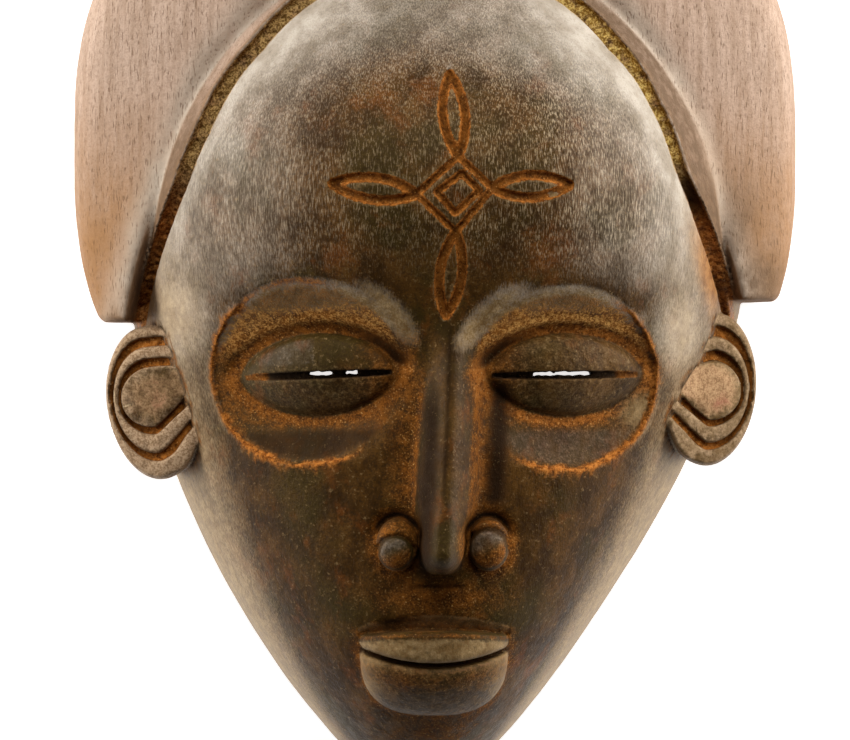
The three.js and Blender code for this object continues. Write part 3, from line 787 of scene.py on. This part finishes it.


# ---- where dirt, wear and bare wood lie, and where sheen, light and shade are painted


class Marks(dict):
    """Shares from 0 to 1 at each vertex, by name."""

    def most(self, name, *shares):
        """Lays shares on a mark wherever they are stronger than it."""
        for share in shares:
            self[name] = maximum(self[name], share)

    def fade(self, name, share):
        """Takes that part of a mark away."""
        self[name] = self[name] * (1 - share)


def base_marks(p):
    """Edge wear, dirt in hollows, the groove and the bare coiffure, painted sheen at the face's
    outline and painted shade on the coiffure beside the groove, with what other marks need.
    """
    x, y, z = p.T
    slope = gradient(p, in_chunks(carving, p))
    normal = slope / maximum(np.linalg.norm(slope, axis=1, keepdims=True), 1e-6)
    hidden = [1 - in_chunks(carving, p + normal * reach) / reach for reach in HOLLOW_REACHES]
    narrow, wide = (clip(share, 0, 1) for share in hidden)
    edge = clip(1 + in_chunks(carving, p - normal * EDGE_REACH) / EDGE_REACH, 0, 1)
    front = ramp(normal[:, 2], -0.25, 0.05)

    radius, upper, around = polar(x, y)
    from_groove = radius - groove_radius(upper, around)
    half = groove_half(around)
    arch = ramp(y, -12, -6) * front
    hair = ramp(from_groove, -0.3, 1.2) * ramp(y - hair_end(x), -1.2, 0.2)
    channel = (1 - ramp(abs(from_groove), half - 0.6, half + 0.9)) * arch
    beside = hump(from_groove + half + 2.0, 3.0) * arch
    # steep: where the coiffure's surface tilts steeply down to the groove; it is darkened there as
    # painted shade.
    steep = (1 - ramp(from_groove, 7, 13)) * ramp(1 - normal[:, 2], 0.15, 0.5)

    off = x - midline(y)
    t = clip(abs(off) / maximum(side_reach(off, y), 1), 0, 1.2)
    above = ramp(y, -4, 14)
    # Pale at the face's outline from forehead to jaw, and beside the groove, is partly edge wear
    # and partly painted sheen and reflection; the forehead is also paler towards the crown.
    pale = lerp(0.75, 0.66, above) * ramp(t, lerp(0.62, 0.15, above), 0.94)
    pale = pale + lerp(0.1, 0.28, ramp(x, -20, 20)) * beside
    pale = pale + above * (0.08 + 0.45 * ramp(y, 52, 84) + 0.12 * ramp(off, 14, 40))
    duller = hump(y - 26, 17) * hump(t - where(off < 0, 0.7, 0.57), 0.13)
    pale = pale * (1 - 0.32 * above * duller) + 0.14 * blob(x, y, 24, 68, 15, 13)

    m = Marks((name, np.zeros_like(x)) for name in MARK_NAMES)
    m.update(
        hair=hair, channel=channel, inside=(1 - front) * (1 - hair),
        dirt=(0.35 * narrow + 0.3 * wide) * (1 - 0.8 * hair),
        dark=0.35 * narrow * wide * (1 - hair),
        pale=(pale + 0.4 * edge) * (1 - hair),
        glow=0.75 * channel * (1 - ramp(y, 25, 42)),
        grime=hair * front * steep * where(x > 0, 1.0, 0.2 + 0.7 * (1 - ramp(y, 45, 80))),
        patina=hair * (1 - ramp(from_groove, 5, 17)) * front * (1 - steep),
        brushed=above * (1 - hair) * (0.55 + 0.45 * ramp(off, -20, 30)) * ramp(y, 4, 24),
        ochre=channel * lerp(0.3, 1.0, ramp(x, 25, 40)) * ramp(y, 34, 46),
        warm=hair * clip(ramp(-y, -75, -10) + 0.8 * edge, 0, 1) + (1 - hair) * ramp(-y, -10, 30),
    )
    # The coiffure's rim along the groove is darkened, partly as painted shade.
    m.most("grime", 0.9 * hair * hump(from_groove - half - 0.4, 1.2) * front)
    m.most("dark", where(x > 0, 0.75, 0.3) * channel * hump(y - 32, 9))
    at = SimpleNamespace(x=x, y=y, z=z, off=off, edge=edge, front=front,
                         from_groove=from_groove, on_face=z > FRONT_Z)
    return at, m


def mark_motif(at, m):
    stroke = motif_distance(at.x, at.y)
    chip = ramp(blob(at.x, at.y, *CHIP, 1.7, 1.0), 0.35, 0.6)
    scar = (1 - ramp(stroke, 0.85, 1.25)) * at.on_face * (1 - chip)
    m.most("dirt", 1.25 * scar)
    m.most("dust", 0.5 * hump(stroke - 1.3, 0.35) * at.on_face, chip)
    m.fade("pale", 0.9 * scar)
    m.fade("dark", scar)
    m.most("pale", chip)
    m.most("glow", (0.2 + 0.55 * ramp(stroke, 0.2, 0.9)) * scar)
    m.most("dark", 0.4 * hump(stroke + 0.1, 0.5) * at.on_face)


def mark_eye(at, m, socket, lid):
    x, y, z, on_face = at.x, at.y, at.z, at.on_face
    right = socket[0] > 0
    share, angle = socket_share(socket, x, y)
    bowl = (1 - ramp(share, 0.93, 1.0)) * on_face
    worn = noise(x, y, z, 2.6)
    rim = hump((share - 1.01) * socket[2] + 0.6 * worn, 1.2 + 0.5 * worn) * on_face
    rim = rim * rim_crispness(socket, angle) * clip(1.1 + 0.5 * noise(y, x, z, 7.0), 0, 1)
    u, v = lid_axes(lid, x, y)
    size = sqrt(lid_size(u, v))
    beyond = (size - 1) * LID_HALF_HEIGHT
    on_lid = (1 - ramp(size, 0.97, 1.04)) * on_face
    around_lid = bowl * (1 - on_lid)
    foot = hump(beyond - 0.1 * LID_HALF_HEIGHT, 2.3) * (1 - on_lid) * on_face
    over = ramp(v, 2, 10) * around_lid * (1 - ramp(v, 17, 22))
    nasal = ramp(-sign(socket[0]) * (x - lid[0]), 4, 20)
    # golden: the orange line over the lid, made brighter with the gold mark as painted light
    # against the shade of the socket's top wall.
    golden = hump(beyond - 3.4, 1.1) * ramp(v, 1.5, 6) * on_face
    golden = golden * (1 - ramp(abs(u), 15, 20))
    m.fade("dirt", 0.75 * on_lid)
    m.most("dirt", 0.95 * rim, 0.85 * foot, 0.9 * golden, 0.72 * over,
           0.55 * bowl * nasal, 0.5 * around_lid)
    m.most("glow", 0.9 * rim, (0.45 if right else 0.1) * foot)
    m.most("gold", (0.8 if right else 0.4) * golden, 0.42 * over * ramp(beyond, 1.5, 3.0))

    trench = hump(beyond - 1.0, 1.8) * ramp(v, -1, 4)
    m.most("dark", (0.12 + 0.7 * nasal) * trench * (1 - on_lid) * on_face,
           0.3 * around_lid * nasal, 0.5 * on_lid * nasal * ramp(v, 1, 5))
    if right:
        dusty = around_lid * blob(x, y, 58, -29, 8, 7)
        m.fade("dirt", 0.8 * dusty)
        m.most("dust", 0.8 * dusty)
    # Bluish painted sheen on the upper outer part of each lid.
    outer = ramp(sign(socket[0]) * u, -2, 9)
    m.most("blue", on_lid * ramp(v, 1, 4) * outer * 0.15)
    if not right:
        patch = ramp(u, -17.5, -16.5) * (1 - ramp(u, -1.5, 0)) * ramp(v, 2.5, 3.5)
        m.most("blue", 0.32 * on_lid * patch * (1 - ramp(size, 0.86, 0.96)))
    m.most("dust", 0.3 * on_lid * (1 - 0.6 * ramp(v, 1, 4) * (not right)))

    # Bluish painted reflection in the bowl below the lid.
    below = around_lid * ramp(-v, 13, 17)
    m.most("blue", below * (0.3 if right else 0.08))
    m.fade("dirt", 0.5 * below * (1 - rim))
    m.most("dark", (0.3 if right else 0.62) * below * (1 - rim))
    # The slit's walls are painted dark as shade, most where it is cut through; where it is only
    # scored it takes dirt.
    slit = 1 - ramp(abs(v) - slit_half(u), -0.1, 0.5)
    slit = slit * (abs(u) < SLIT_HALF_LENGTH + 0.5)
    scored = ramp(abs(u), SLIT_OPEN_LENGTH, SLIT_OPEN_LENGTH + 3) * (x * (x - lid[0]) > 0)
    m.most("dark", slit * (1 - 0.7 * scored) * (z > FRONT_Z - 5))
    m.most("dirt", slit * scored * on_face)

    # The brow slope over the lid: pale dust, made lighter as painted light against its shade.
    brow = ramp(beyond, 3.5, 6.5) * ramp(v, 3, 9) * (1 - ramp(share, 0.98, 1.12)) * on_face
    brow = maximum(brow, hump(share - 1.08, 0.12) * nasal * ramp(v, 3, 12) * on_face)
    m.fade("pale", 0.8 * bowl)
    m.most("pale", (0.95 if right else 0.75) * brow)
    m.most("dust", 0.85 * brow * (1 - rim))


def mark_wing(at, m, side):
    x, y = at.x, at.y
    u, v = wing_axes(side, x, y)
    beyond = (hypot(u, v) - 1) * WING_X
    ax, ay, rx, ry = WING_ARCS[side]
    disc = wing_arc(side, x, y)
    in_place = (at.z > FRONT_Z + 5) * (abs(beyond) < 12)
    rim = in_place * (1 - ramp(beyond, -0.3, 0.6)) * ramp(disc, -0.6, 0.4)
    face_of = in_place * (1 - ramp(disc, -1.2, 0.0))
    # lit: the disc's upper part, which takes a bluish painted highlight.
    lit = ramp((y - ay) / ry - 0.4 * (x - ax) / rx, -0.5, 0.6)
    m.fade("dirt", 0.6 * in_place * (beyond < -0.5))
    m.most("dirt", 0.6 * rim, 0.7 * face_of * (1 - lit),
           in_place * 0.8 * hump(maximum(beyond, 0), 3.2) * (beyond > 0))
    m.most("blue", 0.45 * face_of * lit)
    m.most("dust", 0.35 * face_of)
    m.most("gold", in_place * (0.15 if side > 0 else 0.05) * hump(beyond - 2.2, 1.5))
    # Dark in the arc cut and in the niche over the wing is painted shade.
    arc = hump(disc, 0.7) * ramp(v, -0.1, 0.4) * in_place
    niche = hump(beyond - 0.8, 1.1) * ramp(v, 0.1, 0.8) * in_place
    m.fade("dark", face_of)
    m.most("dark", 0.7 * arc, 0.95 * niche)


def mark_nose(at, m):
    y, off = at.y, at.off
    from_nose = maximum(nose_field(at.x, y, at.z), 0)
    beside = (at.z > FRONT_Z + 10) * ramp(y, -84, -70) * (1 - ramp(y, -12, 4))
    flank = ramp(off, 5.0, 7.5) + ramp(-off, lerp(5.0, 7.5, ramp(-y, 25, 45)), 9.0)
    m.most("dirt", 0.75 * hump(from_nose, 2.6) * flank * beside,
           0.62 * hump(from_nose, 9.0) * ramp(abs(off), 8, 10) * beside)
    m.most("gold", 0.05 * hump(off - 7.5, 2.0) * beside * ramp(y, -60, -50))
    # The first is a thin dark line down the nose's middle; the other two are painted shade at its
    # right foot and on its left slope.
    m.most("dark", 0.65 * hump(off + 0.6, 0.9) * beside * ramp(y, -58, -48),
           0.42 * hump(off - 9.0, 3.5) * beside,
           0.85 * hump(off + 5.0, 3.2) * beside * ramp(-y, 15, 30))
    for side in (-1, 1):
        mark_wing(at, m, side)
    # Bluish painted highlight just right of the nose's ridge.
    m.most("blue", 0.2 * hump(off - 2.6, 1.5) * beside)
    # Painted shade in the valley right of the nose.
    valley = hump(off - 14.0, 4.0) * ramp(y, -58, -53) * ramp(-y, 14, 24)
    m.most("dark", 0.9 * valley * beside)


def mark_mouth(at, m):
    x, y, on_face = at.x, at.y, at.on_face
    upper_lip, lower_lip = lip_fields(x, y, at.z)
    nearest = minimum(upper_lip, lower_lip)
    share = mouth_share(x)
    parting, lip_edge, lip_top, _ = mouth_lines(share)
    across = (abs(share) < 1.02) & on_face
    recess = across * ramp(y, -93, -91) * (1 - ramp(y - lip_top, -0.6, 0.8)) * (upper_lip > 0.3)
    # shadow: painted shadow at the left end of the recess.
    shadow = 0.8 * blob(x, y, -13, -87.5, 6, 2.2)
    on_lips = on_face * (nearest < 0.25) * (1 - recess)
    lower = on_lips * (y < parting)
    m.fade("dirt", 0.5 * on_lips)
    m.most("dirt", 0.45 * recess,
           0.6 * hump(maximum(nearest, 0), 3.0) * on_face * (1 - on_lips),
           0.72 * blob(x, y, 1, -81, 22, 7) * on_face * (1 - on_lips),
           0.5 * hump(y - lip_edge + 0.9, 0.8) * (upper_lip < 0.3) * across,
           0.42 * lower * hump(y - parting + 5, 5.0),
           0.5 * blob(x, y, 1, -122, 20, 8) * on_face)
    m.most("dark", 0.5 * hump(y - CREASE_Y, 1.0) * (abs(x) < 8) * on_face,
           recess * shadow, 0.75 * across * hump(y - parting, 1.0) * (nearest > -1.2))
    # The rest of the recess is made lighter as painted light against its shade.
    m.most("pale", 0.4 * recess * (1 - shadow))
    m.most("dust", 0.65 * recess * (1 - shadow),
           0.75 * on_lips * (y > parting) * (1 - ramp(y - lip_edge, -2.5, -1)),
           lower * (0.3 + 0.45 * ramp(abs(share), 0.6, 0.98) + 0.3 * at.edge))
    m.most("pink", 0.6 * on_face * across * hump(y - parting + 2.0, 1.2) * (share > -0.2))


def mark_ear(at, m, ear):
    x, y, z = at.x, at.y, at.z
    right = ear[0] > 0
    side = sign(ear[0])
    here = (abs(x - ear[0]) < 24) & (abs(y - ear[1]) < 32) & (z < FRONT_Z + 2)
    off_ear = ear_field(ear, x, y, z)
    own = here * (1 - ramp(off_ear, 0.25, 0.9)) * at.front
    even, u, v = ear_steps(ear, x, y)
    cut = ramp(even, 0.0, 0.25) * (1 - ramp(even, 0.8, 1.0))
    cut = maximum(cut, ramp(even, 1.95, 2.15) * (1 - ramp(even, 2.8, 3.0)))
    for name, share in (
        ("pale", 0.15), ("channel", 0), ("ochre", 0),
        ("dust", (1 - cut) * (0.65 if right else 0.3)),
        ("dirt", 0.98 * cut), ("dark", 0.45 * cut * ramp(side * u, -2, 6)),
        ("glow", 0.45 * cut * (0.5 + 0.5 * ramp(abs(v), 4, 12))),
    ):
        m[name] = lerp(m[name], share, own)
    disc = own * (1 - ramp(even, -0.15, 0.05))
    m.most("ear", disc * (1.0 if right else 0.5))
    m.most("ash", own * (1 - cut) * (1 - disc) * (0.5 if right else 0.8),
           0.25 * disc * (not right))
    m.most("pink", disc * blob(x, y, *EAR_FLUSHES[side], 4.5, 5.5))
    crease = here * (1 - own) * (side * u < 0) * (z > 40)
    m.most("dark", 0.8 * crease * hump(off_ear - 0.8, 0.8))
    m.most("dirt", 0.7 * crease * hump(off_ear - 1.5, 1.2))


def mark_groove_ends(at, m):
    """Stained wood where the groove runs out, and darker hair beside it."""
    x, y, hair = at.x, at.y, m["hair"]
    bare_edge = (1 - hair) * (1 - m["ear"]) * (1 - m["ash"]) * at.front
    bare_edge = bare_edge * ramp(at.from_groove, -15, -4)
    stain = maximum(blob(x, y, 80, 12, 9, 19), 0.6 * blob(x, y, -84, 2, 4, 12)) * bare_edge
    tan = maximum(blob(x, y, 88, -2, 9, 9), blob(x, y, -90, -4, 9, 9)) * bare_edge
    m.most("stain", stain)
    m.fade("pale", 0.35 * stain)
    m.most("warm", stain)
    m.most("dust", 0.8 * tan)
    beside_end = 0.8 * hump(at.from_groove - 4.0, 4.0) * ramp(-y, -45, -5)
    low_end = maximum(blob(x, y, 92, 8, 11, 10), 0.75 * blob(x, y, 87, 23, 7, 15))
    m.most("grime", beside_end * hair * at.front, low_end * hair * at.front)


def surface_marks(p):
    """Shares from 0 to 1 at each vertex that the wood's material reads by name."""
    at, m = base_marks(p)
    mark_motif(at, m)
    for socket, lid in zip(SOCKETS, LIDS):
        mark_eye(at, m, socket, lid)
    mark_nose(at, m)
    mark_mouth(at, m)
    # Temple patches: pale wear that is partly painted sheen.
    temple = 1.05 * blob(at.x, at.y, -77, -2, 14, 17) + 0.9 * blob(at.x, at.y, 70, -6, 10, 18)
    temple = temple * (1 - m["hair"])
    m.most("pale", temple)
    m.most("warm", 0.7 * temple)
    for ear in EARS:
        mark_ear(at, m, ear)
    mark_groove_ends(at, m)
    for name in ("pale", "dust", "brushed"):
        m[name] = m[name] * at.front
    return m


# ---- the wood's material


def linear(r, g, b):
    """A colour given as a screen shows it, 0 to 255."""
    parts = [v / 255 for v in (r, g, b)]
    return tuple(v / 12.92 if v < 0.04 else ((v + 0.055) / 1.055) ** 2.4 for v in parts) + (1,)


def set_inputs(node, values):
    for name, value in values.items():
        node.inputs[name].default_value = value


class Graph:
    """Short ways to add shader nodes. Colours are given as a screen shows them, 0 to 255."""

    def __init__(self, material):
        self.tree = material.node_tree

    def feed(self, socket, value):
        if hasattr(value, "is_linked"):
            self.tree.links.new(value, socket)
        else:
            socket.default_value = value

    def node(self, kind, values, **settings):
        made = self.tree.nodes.new(kind)
        for name, value in settings.items():
            setattr(made, name, value)
        for key, value in values.items():
            self.feed(made.inputs[key], value)
        return made

    def mark(self, name):
        return self.node("ShaderNodeAttribute", {}, attribute_name=name).outputs["Fac"]

    def noise(self, size_mm, detail, rough, twist=0.0):
        place = self.node("ShaderNodeTexCoord", {}).outputs["Object"]
        scale = tuple(1000 / v for v in size_mm)
        place = self.node("ShaderNodeMapping", {"Vector": place, "Scale": scale}).outputs["Vector"]
        values = {"Vector": place, "Scale": 1.0, "Detail": detail, "Roughness": rough,
                  "Distortion": twist}
        return self.node("ShaderNodeTexNoise", values).outputs["Fac"]

    def math(self, operation, a, b, c=0.0):
        return self.node("ShaderNodeMath", {0: a, 1: b, 2: c}, operation=operation).outputs[0]

    def times(self, a, b):
        return self.math("MULTIPLY", a, b)

    def plus(self, a, b):
        return self.math("ADD", a, b)

    def ramp(self, value, low, high, out_low=0.0, out_high=1.0):
        values = {"Value": value, "From Min": low, "From Max": high,
                  "To Min": out_low, "To Max": out_high}
        made = self.node("ShaderNodeMapRange", values, interpolation_type="SMOOTHSTEP")
        return made.outputs["Result"]

    def broken(self, share, grain, depth, low, high):
        """A share with its edge broken up by a noise."""
        shifted = self.math("MULTIPLY_ADD", self.math("SUBTRACT", grain, 0.5), depth, share)
        return self.ramp(shifted, low, high)

    def mix(self, factor, a, b):
        made = self.node("ShaderNodeMix", {}, data_type="RGBA")
        for index, value in ((0, factor), (6, a), (7, b)):
            self.feed(made.inputs[index], linear(*value) if isinstance(value, tuple) else value)
        return made.outputs[2]

    def coats(self, color, *coats):
        """Lays each coat, a share and a colour, over what is there."""
        for share, coat in coats:
            color = self.mix(share, color, coat)
        return color

    def tones(self, noise, low, high, dark, light):
        """A colour that runs from dark to light with a noise."""
        return self.mix(self.ramp(noise, low, high), dark, light)


def face_color(g, n, mark):
    """Smoked brown, brushed pale on the forehead, rubbed bare at the sides, with thin films; the
    pale, film and bluish coats also carry painted sheen and painted light.
    """
    patch, mottle, grains = n.patch, n.mottle, n.grains
    low = g.tones(patch, 0.35, 0.68, (44, 26, 6), (82, 54, 20))
    high = g.tones(patch, 0.35, 0.68, (56, 34, 12), (100, 68, 34))
    redder = g.noise((12.0, 16.0, 12.0), 4.0, 0.65)
    strokes = g.times(g.ramp(n.scratch, 0.52, 0.64), g.ramp(patch, 0.3, 0.6, 0.35, 0.95))
    cracks = g.times(g.ramp(n.scratch, 0.34, 0.46, 0.7, 0), mark.brushed)
    # The pale of wear, also laid as painted sheen at the face's outline and as painted light on
    # the brow and the lip's recess.
    worn = g.tones(patch, 0.3, 0.7, (144, 131, 114), (184, 173, 158))
    warm = g.tones(mottle, 0.3, 0.7, (150, 124, 92), (190, 164, 128))
    film_and_painted_light = g.tones(mottle, 0.3, 0.7, (112, 88, 54), (160, 134, 94))
    return g.coats(
        g.mix(mark.brushed, low, high),
        (g.ramp(n.cloud, 0.44, 0.64, 0, 0.75), (54, 44, 16)),
        (g.ramp(redder, 0.54, 0.7, 0, 0.5), (112, 60, 18)),
        (g.ramp(n.speck, 0.6, 0.72, 0, 0.35), (128, 104, 70)),
        (g.times(strokes, mark.brushed), (156, 134, 102)),
        (cracks, (32, 20, 8)),
        (g.ramp(grains, 0.36, 0.52, 0.6, 0), (26, 15, 5)),
        (g.broken(mark.pale, n.fine, 0.25, 0.15, 1.0), g.mix(mark.warm, worn, warm)),
        (g.ramp(mark.stain, 0, 1, 0, 0.9),
         g.tones(mottle, 0.3, 0.7, (124, 76, 36), (160, 110, 62))),
        # Dust, which on the brow and in the recess over the lip is painted light against their
        # shade.
        (g.broken(mark.dust, grains, 1.3, 0.15, 0.9),
         g.mix(g.ramp(n.grit, 0.38, 0.6, 0, 0.5), film_and_painted_light, (96, 66, 34))),
        # Bluish grey: painted sheen and reflection on the lids, the wing discs, the nose's ridge
        # and the bowls below the lids.
        (g.broken(mark.blue, grains, 0.9, 0.1, 0.95),
         g.tones(mottle, 0.35, 0.65, (72, 64, 54), (120, 114, 108))),
        (g.broken(mark.ash, mottle, 0.8, 0.2, 0.85),
         g.tones(grains, 0.4, 0.6, (132, 104, 76), (172, 144, 114))),
        (g.broken(mark.ear, mottle, 0.5, 0.2, 0.85),
         g.tones(grains, 0.4, 0.6, (146, 110, 77), (180, 144, 106))),
        (g.broken(mark.pink, n.speck, 1.0, 0.4, 1.5), (150, 80, 66)),
        (g.ramp(grains, 0.36, 0.5, 0.22, 0), (70, 50, 30)),
    )


def rust_color(g, n, mark):
    """The red-brown dirt in cuts and sockets."""
    return g.coats(
        g.tones(n.mottle, 0.3, 0.68, (58, 28, 4), (122, 70, 20)),
        (g.ramp(n.grit, 0.44, 0.64, 0, 0.35), (156, 96, 36)),
        (g.times(mark.glow, g.ramp(n.mottle, 0.3, 0.55, 0.5, 1.0)),
         g.tones(n.speck, 0.35, 0.65, (126, 66, 20), (194, 120, 50))),
        (g.ramp(n.grit, 0.64, 0.72, 0, 0.7), (214, 166, 96)),
        (g.ramp(n.grains, 0.36, 0.52, 0.5, 0), (34, 16, 4)),
    )


def bare_color(g, n, mark, grain, pore):
    """The coiffure's bare wood, with what was rubbed into it and painted shade on its slope and
    rim by the groove.
    """
    return g.coats(
        g.tones(grain, 0.3, 0.7, (166, 139, 118), (190, 163, 143)),
        (g.ramp(n.grains, 0.38, 0.55, 0.3, 0), (120, 92, 70)),
        (g.times(mark.warm, g.ramp(n.patch, 0.2, 0.7, 0.6, 1.0)), (154, 112, 72)),
        (g.times(mark.patina, g.ramp(n.patch, 0.2, 0.7, 0.4, 1.0)), (198, 184, 166)),
        (g.times(mark.grime, g.ramp(n.mottle, 0.25, 0.6, 0.65, 0.95)), (100, 80, 62)),
        (g.times(pore, 0.55), (104, 76, 54)),
    )


def crumb_color(g, n, mark, rust, black):
    """What lies in the groove round the coiffure, its colours partly made lighter as painted light
    against the groove's shade.
    """
    return g.coats(
        g.tones(n.grains, 0.4, 0.62, (60, 40, 22), (160, 124, 82)),
        (mark.glow, rust),
        (g.times(mark.ochre, g.ramp(n.mottle, 0.3, 0.6)),
         g.tones(n.grains, 0.44, 0.6, (138, 102, 42), (226, 196, 116))),
        (black, (30, 14, 4)),
    )


def wood_material():
    material = bpy.data.materials.new("patinated_wood")
    material.use_nodes = True
    g = Graph(material)
    mark = SimpleNamespace(**{name: g.mark(name) for name in MARK_NAMES})
    n = SimpleNamespace(
        cloud=g.noise([26.0] * 3, 3.0, 0.6), patch=g.noise((9.0, 14.0, 9.0), 4.0, 0.62),
        speck=g.noise([1.3] * 3, 3.0, 0.65), grit=g.noise([0.55] * 3, 2.0, 0.6),
        scratch=g.noise((0.3, 2.6, 0.5), 2.0, 0.6), mottle=g.noise([3.2] * 3, 3.0, 0.6),
    )
    n.fine = g.plus(g.ramp(n.scratch, 0.32, 0.68, 0, 0.82), g.ramp(n.patch, 0.3, 0.7, 0, 0.18))
    n.grains = g.plus(g.times(n.speck, 0.5), g.times(n.grit, 0.5))
    rust = rust_color(g, n, mark)
    broken_up = g.plus(g.times(n.grains, 0.6), g.times(n.mottle, 0.4))
    soil = g.broken(mark.dirt, broken_up, 0.9, 0.15, 0.85)
    black = g.broken(mark.dark, n.grains, 0.9, 0.15, 0.95)
    grain = g.noise((1.6, 24.0, 3.0), 4.0, 0.6, 0.3)
    pore = g.ramp(g.noise((0.35, 2.6, 0.4), 1.0, 0.4), 0.6, 0.72)
    color = g.coats(
        face_color(g, n, mark),
        (soil, rust),
        (g.broken(mark.gold, n.grains, 0.9, 0.1, 0.9),
         g.tones(n.grains, 0.42, 0.6, (140, 84, 32), (222, 166, 90))),
        (black, (26, 13, 4)),
        (g.ramp(n.grains, 0.56, 0.68, 0, 0.25), (150, 120, 78)),
        (g.broken(mark.hair, n.speck, 0.5, 0.35, 0.65), bare_color(g, n, mark, grain, pore)),
        (g.times(mark.inside, 0.9), g.tones(grain, 0.3, 0.7, (92, 66, 44), (128, 96, 66))),
        (g.broken(mark.channel, n.speck, 0.8, 0.3, 0.7), crumb_color(g, n, mark, rust, black)),
    )

    dull = g.math("MAXIMUM", g.math("MAXIMUM", soil, mark.hair), black)
    gloss = g.plus(g.ramp(n.mottle, 0.25, 0.75, 0.42, 0.58), g.times(dull, 0.3))
    relief = g.times(n.grit, g.math("MULTIPLY_ADD", soil, 0.8, 0.2))
    for noise, height in ((n.scratch, 0.5), (n.speck, 1.2), (n.mottle, 2.0)):
        relief = g.plus(relief, g.times(noise, height))
    relief = g.math("SUBTRACT", relief, g.times(pore, mark.hair))
    bump = g.node("ShaderNodeBump", {"Height": relief, "Strength": 0.7, "Distance": 0.0002})
    shader = material.node_tree.nodes["Principled BSDF"]
    g.feed(shader.inputs["Base Color"], color)
    g.feed(shader.inputs["Roughness"], gloss)
    g.feed(shader.inputs["Normal"], bump.outputs["Normal"])
    set_inputs(shader, {"Specular IOR Level": 0.13, "Specular Tint": (1.0, 0.66, 0.36, 1)})
    return material


def new_object(name, data):
    made = bpy.data.objects.new(name, data)
    bpy.context.scene.collection.objects.link(made)
    return made


def carved_mask():
    vertices, quads = surface_net(*narrow_band())
    vertices = settle(vertices, 1)
    piece = new_object("mask_carving", new_mesh("mask_carving", vertices / 1000, quads))
    thin = piece.modifiers.new("thin", "DECIMATE")
    thin.ratio = min(1.0, TRIANGLES / (2 * len(quads)))
    bpy.context.view_layer.objects.active = piece
    piece.select_set(True)
    bpy.ops.object.modifier_apply(modifier="thin")
    piece.data.shade_smooth()
    for name, values in surface_marks(positions(piece.data) * 1000).items():
        layer = piece.data.attributes.new(name, "FLOAT", "POINT")
        layer.data.foreach_set("value", clip(values, 0, 1).astype(np.float32))
    piece.data.materials.append(wood_material())
    return piece


mask = carved_mask()
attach(mask, "root")
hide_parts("mask")

# ---- floor, light, camera, in metres
SIDE_BOX = (0.85, 0.25, 0.19)
SIDE_TARGET, TOP_TARGET = (0, 0.02, 0.05), (0, 0, 0.05)
FLOOR_REACH, FLOOR_COLOR, FLOOR_GLOW = 3.0, (0.9, 0.9, 0.9, 1), 0.78
SKY_COLOR, SKY_STRENGTH = (0.9, 0.92, 0.95, 1), 0.03
CAMERA_PLACE = (-0.0035, -0.0174, 1.248)
SENSOR_MM = 36
PHOTO_WIDTH, PIXEL_SIZE, PIXEL_DISTANCE = 850, 0.00029, 1.2


def area_light(name, place, target, width, height, watts):
    data = bpy.data.lights.new(name, "AREA")
    data.shape = "RECTANGLE"
    data.size, data.size_y = width, height
    data.energy = watts
    lamp = new_object(name, data)
    lamp.location = place
    away = [place[i] - target[i] for i in range(3)]
    lamp.rotation_euler = Vector(away).to_track_quat("Z", "Y").to_euler()


area_light("left_box", (-SIDE_BOX[0], *SIDE_BOX[1:]), SIDE_TARGET, 1.0, 0.34, 9)
area_light("right_box", SIDE_BOX, SIDE_TARGET, 1.0, 0.34, 10.3)
area_light("top_box", (0.05, 0.85, 1.1), TOP_TARGET, 0.7, 0.5, 14)

floor_corners = [(-1, -1, 0), (1, -1, 0), (1, 1, 0), (-1, 1, 0)]
floor_mesh = new_mesh("floor", np.array(floor_corners) * FLOOR_REACH, np.array([[0, 1, 2, 3]]))
floor = new_object("floor", floor_mesh)
paper = bpy.data.materials.new("floor_paper")
paper.use_nodes = True
set_inputs(paper.node_tree.nodes["Principled BSDF"], {
    "Base Color": FLOOR_COLOR, "Roughness": 0.9,
    "Emission Color": (1, 1, 1, 1), "Emission Strength": FLOOR_GLOW,
})
floor_mesh.materials.append(paper)

world = bpy.data.worlds.new("studio")
bpy.context.scene.world = world
world.use_nodes = True
sky = {"Color": SKY_COLOR, "Strength": SKY_STRENGTH}
set_inputs(world.node_tree.nodes["Background"], sky)
bpy.context.scene.view_settings.view_transform = "Standard"

camera_data = bpy.data.cameras.new("camera")
camera_data.sensor_width = SENSOR_MM
camera_data.lens = SENSOR_MM * PIXEL_DISTANCE / (PHOTO_WIDTH * PIXEL_SIZE)
camera_data.clip_start = 0.05
camera = new_object("camera", camera_data)
camera.location = CAMERA_PLACE
bpy.context.scene.camera = camera
